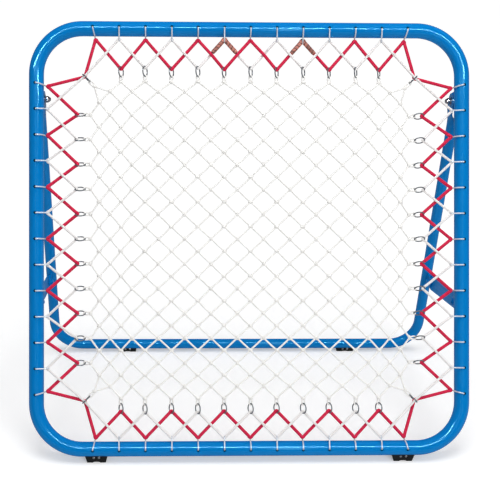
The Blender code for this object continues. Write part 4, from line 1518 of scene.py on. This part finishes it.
@dataclass(frozen=True)
class Fastener:
    """Hexagon bolts and nuts of one size, and the washers, dome nuts and rivets that go with them."""

    flat: float = 0.0065
    chamfer: float = 0.0009
    head_height: float = 0.0053
    nut_height: float = 0.0065
    thread_pitch: float = 0.00125
    thread_depth: float = 0.0006
    thread_length: float = 0.010
    thread_steps: int = 6
    face_share: float = 0.96
    dome_radius: float = 0.0060
    dome_sunk: float = 0.0006
    washer_radius: float = 0.009
    washer_edge: float = 0.0003
    past: float = 0.001
    nut_past: float = 0.0025

    def hexagon(self, start: float, end: float, ends: tuple[bool, bool] = (True, True)) -> Mesh:
        """Make a hexagon.

        Args:
            start: The height of its lower face.
            end: The height of its upper face.
            ends: Whether the corners of each face are chamfered.

        Returns:
            The new mesh.
        """
        top, low = self.flat / cos(pi / 6), self.flat * self.face_share
        first = [(low, start), (top, start + self.chamfer)] if ends[0] else [(top + self.past, start)]
        last = [(top, end - self.chamfer), (low, end)] if ends[1] else [(top + self.past, end)]
        return turned("hexagon", first + last, 72, hexagon_reach(self.flat))

    def threaded(self, start: float, end: float, from_height: float) -> Mesh:
        """Make a shank with a thread.

        Args:
            start: The height of its near end.
            end: The height of its far end.
            from_height: Where the thread starts. It runs to the far end.

        Returns:
            The new mesh.
        """
        low, high = sorted((start, end))
        steps = max(2, round((high - low) / (self.thread_pitch / self.thread_steps)))

        def reach(radius: float, angle: float, height: float) -> float:
            """The thread's wavy radius, plain below the cut."""
            if (height - from_height) * (end - start) < 0:
                return radius
            wave = (height / self.thread_pitch - angle / (2 * pi)) % 1.0
            return radius - self.thread_depth * abs(2 * wave - 1)

        profile = [(BOLT_RADIUS, low + (high - low) * n / steps) for n in range(steps + 1)]
        tip = -1 if end > start else 0
        profile[tip] = (BOLT_RADIUS - self.thread_depth, profile[tip][1])
        return turned("shank", profile, SMALL_ROUND, reach)

    def bolt(self, head: float, tail: float, away: float) -> Mesh:
        """Make a bolt.

        Args:
            head: The height of its head's seat.
            tail: The height of its shank's end.
            away: The direction from head to tail, 1 or -1.

        Returns:
            The new mesh.
        """
        top = head - away * self.head_height
        start, end = sorted((head, top))
        solid = self.hexagon(start, end, (top < head, top > head))
        return joined([solid, self.threaded(head - away * self.past, tail, tail - away * self.thread_length)])

    def bored(self, solid: Mesh, low: float, high: float, steps: int) -> Mesh:
        """A piece opened for its bolt from one height to another."""
        hole = BOLT_RADIUS + TOUCH
        return carved(solid, [turned("bore", [(hole, low), (hole, high)], steps)])

    def nut(self, start: float) -> Mesh:
        """A nut chamfered at both faces, open for its bolt."""
        solid = self.hexagon(start, start + self.nut_height)
        return self.bored(solid, start - self.past, start + self.nut_height + self.nut_past, SMALL_ROUND)

    def dome_nut(self, base: float, top: float) -> Mesh:
        """Make an acorn nut whose dome points to lower heights.

        Args:
            base: The height where its dome meets its hexagon.
            top: The height of its seat.

        Returns:
            The new mesh.
        """
        radius = self.dome_radius
        dome = [(radius * sin(a), base + self.dome_sunk - radius * cos(a))
                for a in (radians(step) for step in (4, 14, 26, 38, 50, 62, 74, 85))]
        return joined([self.hexagon(base, top), turned("dome", dome + [(radius, base + self.past)], 40)])

    def washer(self, low: float, high: float) -> Mesh:
        """Make a washer with softened rims, open for its bolt.

        Args:
            low: The height of its lower face.
            high: The height of its upper face.

        Returns:
            The new mesh.
        """
        rim, soft = self.washer_radius, self.washer_edge
        edge = [(rim - soft, low), (rim, low + soft), (rim, high - soft), (rim - soft, high)]
        disc = turned("washer", edge, LARGE_ROUND)
        return self.bored(disc, low - self.past, high + self.past, 32)

    @staticmethod
    def rivet(radius: float = 0.0028, height: float = 0.0014, shank: float = 0.002, depth: float = 0.003) -> Mesh:
        """A domed rivet head that stands on local Z."""
        dome = [(radius * cos(a), TOUCH + height * sin(a)) for a in (0.0, 0.35, 0.7, 1.0, 1.3, 1.5)]
        return turned("rivet", [(shank, -depth), (shank, TOUCH), *dome], 16)


SIDEWAYS = spin(pi / 2, "Z") @ spin(pi / 2, "X")


@dataclass(frozen=True)
class Lug:
    """A plate welded on a tube, with a bolt through its round end."""

    inner: float
    thickness: float
    radius: float
    reach: float
    faces_back: bool
    tube_x: float
    tube_radius: float
    edge: float = 0.0006
    ripple_spacing: float = 0.0013

    def mesh(self, side: Side, spot: Vector) -> Mesh:
        """The plate, in the frame of the tube it stands on.

        Args:
            side: Which side of the rebounder.
            spot: The bolt's place in that frame.

        Returns:
            The new mesh.
        """
        front = 1 if self.faces_back else -1
        round_end = arc((0.0, 0.0), self.radius, 0.0, -pi * front, 28)
        outline = round_end + [(-self.radius, front * self.reach), (self.radius, front * self.reach)]
        middle = Vector((side.value * (self.inner + self.thickness / 2), 0, 0))
        blank = plate("lug", [outline, circle(BOLT_RADIUS + TOUCH)], self.thickness)
        line = [Vector((side.value * self.tube_x, spot.y + way * 2 * self.radius, 0)) for way in (-1, 1)]
        tube = bar("tube", line, self.tube_radius + TOUCH / 3, LARGE_ROUND)
        return carved(moved(blank, at(spot + middle) @ SIDEWAYS), [tube], self.edge)

    def weld_places(self, side: Side, spot: Vector) -> list[Matrix]:
        """Line up the ripples of its weld along both faces, where they meet the tube.

        Args:
            side: Which side of the rebounder.
            spot: The bolt's place in the tube's frame.

        Returns:
            Their places in that frame.
        """
        front = -1 if self.faces_back else 1
        count = round(2 * self.radius / self.ripple_spacing)
        places = []
        for face in (self.inner, self.inner + self.thickness):
            off = face - self.tube_x
            depth = sqrt(self.tube_radius ** 2 - off ** 2)
            lean = atan2(off, depth * front)
            for n in range(count + 1):
                along = spot.y - self.radius + 2 * self.radius * n / count
                places.append(at((side.value * face, along, front * depth)) @ spin(side.value * lean, "Y"))
        return places


@dataclass(frozen=True)
class WeldBeads:
    """The weld beads of one body: a small ripple at every place."""

    name: str
    body: Body
    places: Sequence[Matrix]
    size: float = 0.0016
    spread: float = 0.0002
    form: Triple = (1.0, 0.62, 0.85)

    def build(self, finishes: Finishes) -> None:
        """Lay the ripples.

        Args:
            finishes: Every finish of the rebounder.
        """
        shape = lump()
        bmesh.ops.scale(shape, vec=Vector(self.form), verts=shape.verts)
        beads = forms(finished(shape, "ripple"), self.places, self.size, self.spread, finishes.plate_paint)
        dress(self.name, beads, None, "plate_paint", self.body, smooth=60)


# The leg, its hinge and the stays


@dataclass(frozen=True)
class Leg:
    """The U-shaped leg with its two ends pressed flat, in the frame of its hinge: Y up the leg, Z to its front."""

    hoop: Hoop
    radius: float = 0.0127
    bend_radius: float = 0.072
    inset: float = 0.00315
    lean: float = radians(1.0)
    end_thickness: float = 0.003
    end_width: float = 0.037
    flat_length: float = 0.0215
    taper_length: float = 0.040
    hinge_up: float = 0.795
    running_gap: float = 0.0005
    bar_rise: float = 0.0053
    fold: float = radians(22.0)
    points_round: int = 40
    taper_steps: int = 12
    bend_steps: int = 20

    @property
    def half(self) -> float:
        """Half the width between the leg's centre lines."""
        return self.hoop.half_w - self.inset

    @property
    def hinge_spot(self) -> Vector:
        """The hinge in the hoop's plane."""
        return Vector((0, self.hinge_up - self.hoop.half_h, -(self.hoop.tube_radius + self.radius + self.running_gap)))

    @property
    def place(self) -> Matrix:
        """The leg's frame in the world."""
        hinge = self.hoop.plane @ self.hinge_spot
        return at(hinge) @ spin(pi / 2 + self.lean, "X")

    @property
    def length(self) -> float:
        """From the hinge down to the crossbar's centre line."""
        return (self.place.translation.z - self.bar_rise - self.radius) / cos(self.lean)

    @property
    def bar_y(self) -> float:
        """World Y of the crossbar's centre line."""
        return (self.place @ Vector((0, -self.length, 0))).y

    def section(self, centre: Vector, inward: Vector, flatness: float, narrow: float = 1.0) -> list[Vector]:
        """Make a ring of points round the leg.

        Args:
            centre: The ring's middle.
            inward: The direction to the leg's inner side.
            flatness: 0 for round, 1 for pressed flat towards the inner side.
            narrow: The share of the pressed end's width, less than 1 at its tip.

        Returns:
            The points.
        """
        shift = self.radius - TOUCH - self.end_thickness / 2
        ring = []
        for step in range(self.points_round):
            angle = 2 * pi * (step + 0.5) / self.points_round
            flat_in = shift + self.end_thickness / 2 * max(-1.0, min(1.0, 5 * cos(angle)))
            across = self.radius * cos(angle) * (1 - flatness) + flat_in * flatness
            front = (self.radius * (1 - flatness) + self.end_width / 2 * flatness) * sin(angle)
            ring.append(centre + inward * across + Vector((0, 0, front * narrow)))
        return ring

    def half_rings(self) -> list[list[Vector]]:
        """Draw the left half of the leg.

        Returns:
            Its rings, from the pressed end's tip to the middle of the crossbar.
        """
        inward = Vector((1, 0, 0))
        rings = []
        for degrees in (86, 78, 70, 60, 50, 40, 30, 20, 10, 0):
            angle = radians(degrees)
            centre = Vector((-self.half, self.end_width / 2 * sin(angle), 0))
            rings.append(self.section(centre, inward, 1.0, cos(angle)))
        rings.append(self.section(Vector((-self.half, -self.flat_length * 0.5, 0)), inward, 1.0))
        for step in range(self.taper_steps + 1):
            share = step / self.taper_steps
            y = -self.flat_length - self.taper_length * share
            rings.append(self.section(Vector((-self.half, y, 0)), inward, 1 - share * share * (3 - 2 * share)))
        centre = Vector((-self.half + self.bend_radius, -self.length + self.bend_radius, 0))
        for step in range(self.bend_steps + 1):
            angle = pi + step * pi / (2 * self.bend_steps)
            out = Vector((cos(angle), sin(angle), 0))
            rings.append(self.section(centre + out * self.bend_radius, -out, 0.0))
        return rings

    def build(self, finishes: Finishes) -> None:
        """Bend the tube and drill its two ends.

        Args:
            finishes: Every finish of the rebounder.
        """
        left = self.half_rings()
        mirror = Matrix.Diagonal((-1, 1, 1, 1))
        right = [[mirror @ point for point in ring] for ring in reversed(left)]
        line = [Vector((way * self.hoop.width / 2, 0, 0)) for way in (-1, 1)]
        hole = bar("bolt_hole", line, BOLT_RADIUS + TOUCH, SMALL_ROUND)
        mesh = carved(loft("leg", left + right), [hole])
        dress("leg_bent_tube", moved(mesh, self.place), finishes.tube_paint, "blue_paint", Body.LEG, "rear_leg_tube")


@dataclass(frozen=True)
class Hinge:
    """What holds the leg's two pressed ends to the hoop: lug, bolt, washer and dome nut."""

    leg: Leg
    lug_thickness: float = 0.005
    lug_radius: float = 0.020
    washer_thickness: float = 0.0016
    kit: Fastener = field(default_factory=Fastener)

    def build(self, finishes: Finishes) -> list[Matrix]:
        """Make both hinges.

        Args:
            finishes: Every finish of the rebounder.

        Returns:
            Where the ripples of their welds lie, in the world.
        """
        leg, hoop, kit, spot = self.leg, self.leg.hoop, self.kit, self.leg.hinge_spot
        end_in = leg.half - leg.radius + TOUCH
        lug = Lug(end_in + leg.end_thickness + TOUCH, self.lug_thickness, self.lug_radius,
                  -spot.z - hoop.tube_radius / 2, True, hoop.half_w, hoop.tube_radius)
        washer_out = end_in - TOUCH
        washer_in = washer_out - self.washer_thickness
        nut_top = washer_in - TOUCH
        base = nut_top - kit.nut_height
        head = lug.inner + lug.thickness + TOUCH
        welds = []
        for side in Side:
            turn = hoop.plane @ at(spot) @ spin(side.value * pi / 2, "Y")
            for name, node, mesh, place, finish, slot in (
                    ("plate", "lug", lug.mesh(side, spot), hoop.plane, finishes.plate_paint, "plate_paint"),
                    ("hex_bolt", "bolt", kit.bolt(head, base, -1.0), turn, finishes.zinc, "zinc"),
                    ("flat_washer", "washer", kit.washer(washer_in, washer_out), turn, finishes.zinc, "zinc"),
                    ("acorn_nut", "dome_nut", kit.dome_nut(base, nut_top), turn, finishes.chrome, "chrome")):
                dress(f"hinge_{name}_{side.word}", moved(mesh, place), finish, slot, Body.FRAME,
                      f"hinge_{node}_{side.word}")
            welds += [hoop.plane @ place for place in lug.weld_places(side, spot)]
        return welds


@dataclass(frozen=True)
class Stays:
    """The two flat stays, their pivots on the hoop and the catches on the leg."""

    leg: Leg
    up: float = 0.33135
    width: float = 0.038
    thickness: float = 0.004
    edge: float = 0.0007
    tube_gap: float = 0.00165
    tip: float = 0.013
    lug_thickness: float = 0.004
    lug_radius: float = 0.016
    side_gap: float = 0.0004
    catch_down: float = 0.4706
    catch_reach: float = 0.0193
    catch_radius: float = 0.014
    notch_gap: float = 0.0006
    thread_proud: float = 0.002
    kit: Fastener = field(default_factory=Fastener)

    @property
    def pivot_spot(self) -> Vector:
        """The pivots in the hoop's plane."""
        hoop = self.leg.hoop
        return Vector((0, self.up - hoop.half_h, -(hoop.tube_radius + self.width / 2 + self.tube_gap)))

    @property
    def catch_spot(self) -> Vector:
        """The catches in the leg's frame."""
        return Vector((0, -self.catch_down, self.leg.radius + self.catch_reach))

    @property
    def run(self) -> Vector:
        """From a stay's pivot to its catch, in the world."""
        return self.leg.place @ self.catch_spot - self.leg.hoop.plane @ self.pivot_spot

    @property
    def turn(self) -> float:
        """A stay's angle over the horizontal."""
        return atan2(self.run.z, self.run.y)

    def notch_lean(self) -> float:
        """Find how far the notch leans from square, along the way on which the catch leaves it as both fold.

        Returns:
            The angle.
        """
        ratio = (self.turn + pi - self.leg.hoop.incline) / self.leg.fold
        arm = self.leg.place @ self.catch_spot - self.leg.place.translation
        away = Vector((0, arm.z - ratio * self.run.z, -arm.y + ratio * self.run.y))
        local = spin(-self.turn, "X").to_3x3() @ away
        return atan2(-local.y, local.z)

    def bar_mesh(self) -> Mesh:
        """Cut one stay in X and Y: round ends, a bolt hole and a slanted open notch in its upper edge.

        Returns:
            The new mesh.
        """
        length, radius = self.run.length, self.width / 2
        outline = arc((length + self.tip - radius, 0.0), radius, -pi / 2, pi / 2, 28)
        outline += arc((0.0, 0.0), radius, pi / 2, 3 * pi / 2, 28)
        wide = BOLT_RADIUS + self.notch_gap
        notch = arc((self.width, 0.0), wide, -pi / 2, pi / 2, 12) + arc((0.0, 0.0), wide, pi / 2, 3 * pi / 2, 24)
        place = at((length, 0, 0)) @ spin(pi / 2 + self.notch_lean(), "Z")
        return carved(plate("stay", [outline, circle(BOLT_RADIUS + TOUCH)], self.thickness),
                      [moved(plate("notch", [notch], 2 * self.thickness), place)], self.edge)

    def build(self, finishes: Finishes) -> tuple[list[Matrix], list[Matrix]]:
        """Make stays, pivots and catches, all painted together.

        Args:
            finishes: Every finish of the rebounder.

        Returns:
            Where the ripples of the welds lie in the world, on the hoop and on the leg.
        """
        leg, hoop, kit = self.leg, self.leg.hoop, self.kit
        lug_in = leg.half - self.lug_thickness / 2
        bar_in = leg.half + self.lug_thickness / 2 + self.side_gap
        head = bar_in + self.thickness + TOUCH
        nut_out = lug_in - TOUCH
        nut_in = nut_out - kit.nut_height
        tail = head + kit.nut_height + self.thread_proud
        pivot_lug = Lug(lug_in, self.lug_thickness, self.lug_radius, -self.pivot_spot.z - hoop.tube_radius / 2, True,
                        hoop.half_w, hoop.tube_radius)
        catch_lug = Lug(lug_in, self.lug_thickness, self.catch_radius, self.catch_spot.z - leg.radius / 2, False,
                        leg.half, leg.radius)
        on_hoop, on_leg = [], []
        for side, stay in ((Side.LEFT, Body.STAY_LEFT), (Side.RIGHT, Body.STAY_RIGHT)):
            way = spin(side.value * pi / 2, "Y")
            at_pivot, at_catch = hoop.plane @ at(self.pivot_spot) @ way, leg.place @ at(self.catch_spot) @ way
            middle = Vector((side.value * (bar_in + self.thickness / 2), 0, 0))
            along = at(hoop.plane @ self.pivot_spot + middle) @ spin(self.turn, "X") @ SIDEWAYS
            for name, node, mesh, place, slot, body in (
                    ("stay_plate", "stay_lug", pivot_lug.mesh(side, self.pivot_spot), hoop.plane, "plate_paint",
                     Body.FRAME),
                    ("catch_plate", "leg_stay_lug", catch_lug.mesh(side, self.catch_spot), leg.place, "plate_paint",
                     Body.LEG),
                    ("pivot_hex_bolt", "stay_pivot_bolt", kit.bolt(head, nut_in - self.thread_proud, -1.0), at_pivot,
                     "zinc", Body.FRAME),
                    ("pivot_hex_nut", "stay_pivot_nut", kit.nut(nut_in), at_pivot, "zinc", Body.FRAME),
                    ("catch_hex_bolt", "stay_catch_bolt", kit.bolt(nut_out, tail, 1.0), at_catch, "zinc", Body.LEG),
                    ("catch_hex_nut", "stay_catch_nut", kit.nut(head), at_catch, "zinc", Body.LEG),
                    ("flat_stay", "stay_bar", self.bar_mesh(), along, "plate_paint", stay)):
                dress(f"{name}_{side.word}", moved(mesh, place), finishes.plate_paint, slot, body,
                      f"{node}_{side.word}")
            on_hoop += [hoop.plane @ spot for spot in pivot_lug.weld_places(side, self.pivot_spot)]
            on_leg += [leg.place @ spot for spot in catch_lug.weld_places(side, self.catch_spot)]
        return on_hoop, on_leg


# The feet


@dataclass(frozen=True)
class Feet:
    """A pair of moulded saddles under one bar, each riveted on from the front."""

    name: str
    body: Body
    x: float
    bar_y: float
    bar_z: float
    bar_radius: float
    width: float
    depth: float
    rivet_height: float
    taper: float = 0.0045
    arch_width: float = 0.012
    arch_height: float = 0.0025
    rivet_spacing: float = 0.012
    edge: float = 0.0009

    def outline(self) -> Outline:
        """Draw the foot seen from the front: two lobes, an arch between them and sides that widen upwards.

        Returns:
            Its edge.
        """
        half, arch, rise, round_off = self.width / 2, self.arch_width / 2, self.arch_height, self.taper / 2
        right = [(arch * 0.6, rise), (arch, rise * 0.8), (arch + rise, 0.0)]
        right += arc((half - self.taper - round_off, round_off), round_off, -pi / 2, -0.2, 5)
        right += [(half, self.bar_z - self.bar_radius / 3)]
        return right + [(-x, z) for x, z in reversed(right)]

    def build(self, finishes: Finishes) -> None:
        """Make both feet and their rivets.

        Args:
            finishes: Every finish of the rebounder.
        """
        upright = spin(pi / 2, "X")
        seats = []
        for side in Side:
            x = side.value * self.x
            line = [Vector((x + way * self.width, self.bar_y, self.bar_z)) for way in (-1, 1)]
            saddle = bar("saddle", line, self.bar_radius + TOUCH, LARGE_ROUND)
            blank = moved(plate("foot", [self.outline()], self.depth), at((x, self.bar_y, 0)) @ upright)
            dress(f"{self.name}_moulded_foot_{side.word}", carved(blank, [saddle], self.edge),
                  finishes.rubber, "black_rubber", self.body, f"{self.name}_foot_{side.word}")
            seats += [at((x + way * self.rivet_spacing / 2, self.bar_y - self.depth / 2, self.rivet_height)) @ upright
                      for way in (-1, 1)]
        nodes = [f"{self.name}_foot_{side.word}_rivet_{n}" for side in Side for n in (1, 2)]
        dress(f"{self.name}_foot_rivets", forms(Fastener.rivet(), seats, 1.0, 0.0, finishes.zinc), None, "zinc",
              self.body, *nodes, smooth=50)


# Floor, light and camera


@dataclass(frozen=True)
class Lamp:
    """One soft lamp pointed at a place, that either lights the object or shows in its reflections."""

    name: str
    place: Triple
    aim: Triple
    size: tuple[float, float]
    power: float
    lights: bool = False

    def build(self) -> None:
        """Hang the lamp."""
        data = bpy.data.lights.new(self.name, "AREA")
        data.shape = "RECTANGLE"
        (data.size, data.size_y), data.energy = self.size, self.power
        lamp = shown(self.name, data)
        lamp.location = self.place
        lamp.rotation_euler = (Vector(self.aim) - Vector(self.place)).to_track_quat("-Z", "Y").to_euler()
        if self.lights:
            lamp.visible_glossy = False
        else:
            lamp.visible_diffuse = False


@dataclass(frozen=True)
class Studio:
    """A white floor, soft lamps and the camera."""

    eye: Triple = (-0.2072, -1.8977, 1.4405)
    tilt: float = radians(30.0)
    yaw: float = radians(1.46)
    lens: float = 68.22
    sensor: float = 36.0
    shift: tuple[float, float] = (0.134, 0.0492)
    farthest: float = 200.0
    floor_half: float = 30.0
    floor_tone: float = 0.80
    less_in_reflections: float = 0.5
    near_glow: float = 0.32
    more_glow_far: float = 0.36
    sky: float = 0.40
    less_sky_in_reflections: float = 0.34
    top_height: float = 3.4
    lamps: tuple[Lamp, ...] = (
        Lamp("top_lamp", (0.0, 0.0, 3.4), (0.0, 0.0, 0.0), (2.2, 1.7), 59.0, True),
        Lamp("front_lamp", (1.7, -3.0, 1.7), (0.0, 0.0, 0.4), (1.8, 1.8), 42.0, True),
        Lamp("line_lamp", (-0.25, -2.19, 3.23), (0.0, 0.0, 0.43), (5.0, 0.07), 115.0),
        Lamp("left_strip", (-0.95, -2.3, 1.95), (-0.5, 0.0, 0.43), (0.12, 2.4), 2.5),
        Lamp("right_strip", (0.46, -2.3, 1.95), (0.5, 0.0, 0.43), (0.12, 2.4), 2.5))

    def floor(self) -> None:
        """A plain floor that the camera sees as white, with the object's shadow on it."""
        shape = bmesh.new()
        bmesh.ops.create_grid(shape, x_segments=1, y_segments=1, size=self.floor_half)
        mesh = finished(shape, "studio_floor")
        shade = Shade("studio_floor", {"Roughness": 0.9, "Specular IOR Level": 0.0,
                                       "Emission Color": (1.0, 1.0, 1.0, 1.0)})
        tree = shade.tree
        seen = put(tree, "ShaderNodeLightPath").outputs
        less = shade.share(seen["Is Glossy Ray"], self.less_in_reflections)
        shade.colour(sums(tree, "SUBTRACT", self.floor_tone, less))
        square = put(tree, "ShaderNodeVectorMath", {0: shade.place, 1: shade.place}, operation="DOT_PRODUCT")
        level = self.top_height ** 2
        reach = sums(tree, "ADD", square.outputs["Value"], level)
        near = sums(tree, "POWER", sums(tree, "DIVIDE", level, reach), 2.0)
        more = shade.share(sums(tree, "SUBTRACT", 1.0, near), self.more_glow_far)
        glow = shade.share(seen["Is Camera Ray"], sums(tree, "ADD", self.near_glow, more))
        tree.links.new(glow, shade.shader.inputs["Emission Strength"])
        mesh.materials.append(shade.material)
        shown("studio_floor", mesh)

    def world(self) -> None:
        """White to the camera, and softer as a light and in reflections."""
        world = bpy.data.worlds.new("studio")
        bpy.context.scene.world = world
        world.use_nodes = True
        tree, sky = world.node_tree, world.node_tree.nodes["Background"]
        seen = put(tree, "ShaderNodeLightPath").outputs
        direct = sums(tree, "MAXIMUM", seen["Is Camera Ray"], seen["Is Transmission Ray"])
        less = sums(tree, "MULTIPLY", seen["Is Glossy Ray"], self.less_sky_in_reflections)
        power = put(tree, "ShaderNodeMapRange", {
            "Value": direct, "To Min": sums(tree, "SUBTRACT", self.sky, less), "To Max": 1.0})
        sky.inputs["Color"].default_value = (1.0, 1.0, 1.0, 1.0)
        tree.links.new(power.outputs["Result"], sky.inputs["Strength"])

    def camera(self) -> None:
        """The camera at the photograph's viewing angle."""
        data = bpy.data.cameras.new("camera")
        data.sensor_width, data.lens, data.clip_end = self.sensor, self.lens, self.farthest
        data.shift_x, data.shift_y = self.shift
        across, ahead = Vector((1, 0, 0)), Vector((0, cos(self.tilt), -sin(self.tilt)))
        up = Vector((0, sin(self.tilt), cos(self.tilt)))
        right = across * cos(self.yaw) - ahead * sin(self.yaw)
        ahead = ahead * cos(self.yaw) + across * sin(self.yaw)
        camera = shown("camera", data)
        camera.matrix_world = at(self.eye) @ Matrix((right, up, -ahead)).transposed().to_4x4()
        bpy.context.scene.camera = camera

    def build(self) -> None:
        """Set up floor, lamps, world and camera."""
        self.floor()
        for lamp in self.lamps:
            lamp.build()
        self.world()
        self.camera()
        bpy.context.scene.view_settings.view_transform = "Standard"


def main() -> None:
    """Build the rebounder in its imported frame, and the studio round it."""
    logging.basicConfig(level=logging.INFO, format="%(message)s")
    LOG.info("packed nodes: %d", len(frame["nodes"]))
    finishes = Finishes()
    hoop = Hoop()
    leg = Leg(hoop)
    Studio().build()
    hoop.build(finishes)
    Cord(CordKind.RED, hoop, tape_station=-2, radius=0.0037).build(finishes)
    Cord(CordKind.WHITE, hoop, tape_station=1, radius=0.0028).build(finishes)
    Net(hoop).build(finishes)
    leg.build(finishes)
    hinge_welds = Hinge(leg).build(finishes)
    stay_welds, catch_welds = Stays(leg).build(finishes)
    WeldBeads("hoop_weld_beads", Body.FRAME, hinge_welds + stay_welds).build(finishes)
    WeldBeads("leg_weld_beads", Body.LEG, catch_welds).build(finishes)
    Feet("front", Body.FRAME, x=0.348, bar_y=hoop.bottom_y, bar_z=hoop.rise + hoop.tube_radius,
         bar_radius=hoop.tube_radius, width=0.052, depth=0.030, rivet_height=0.014).build(finishes)
    Feet("rear", Body.LEG, x=0.290, bar_y=leg.bar_y, bar_z=leg.bar_rise + leg.radius, bar_radius=leg.radius,
         width=0.048, depth=0.022, rivet_height=0.008, taper=0.002, arch_height=0.0012).build(finishes)
    for guide in [item for item in bpy.data.objects if not item.users_collection and item.type == "MESH"]:
        bpy.data.objects.remove(guide)


if __name__ == "__main__":
    main()
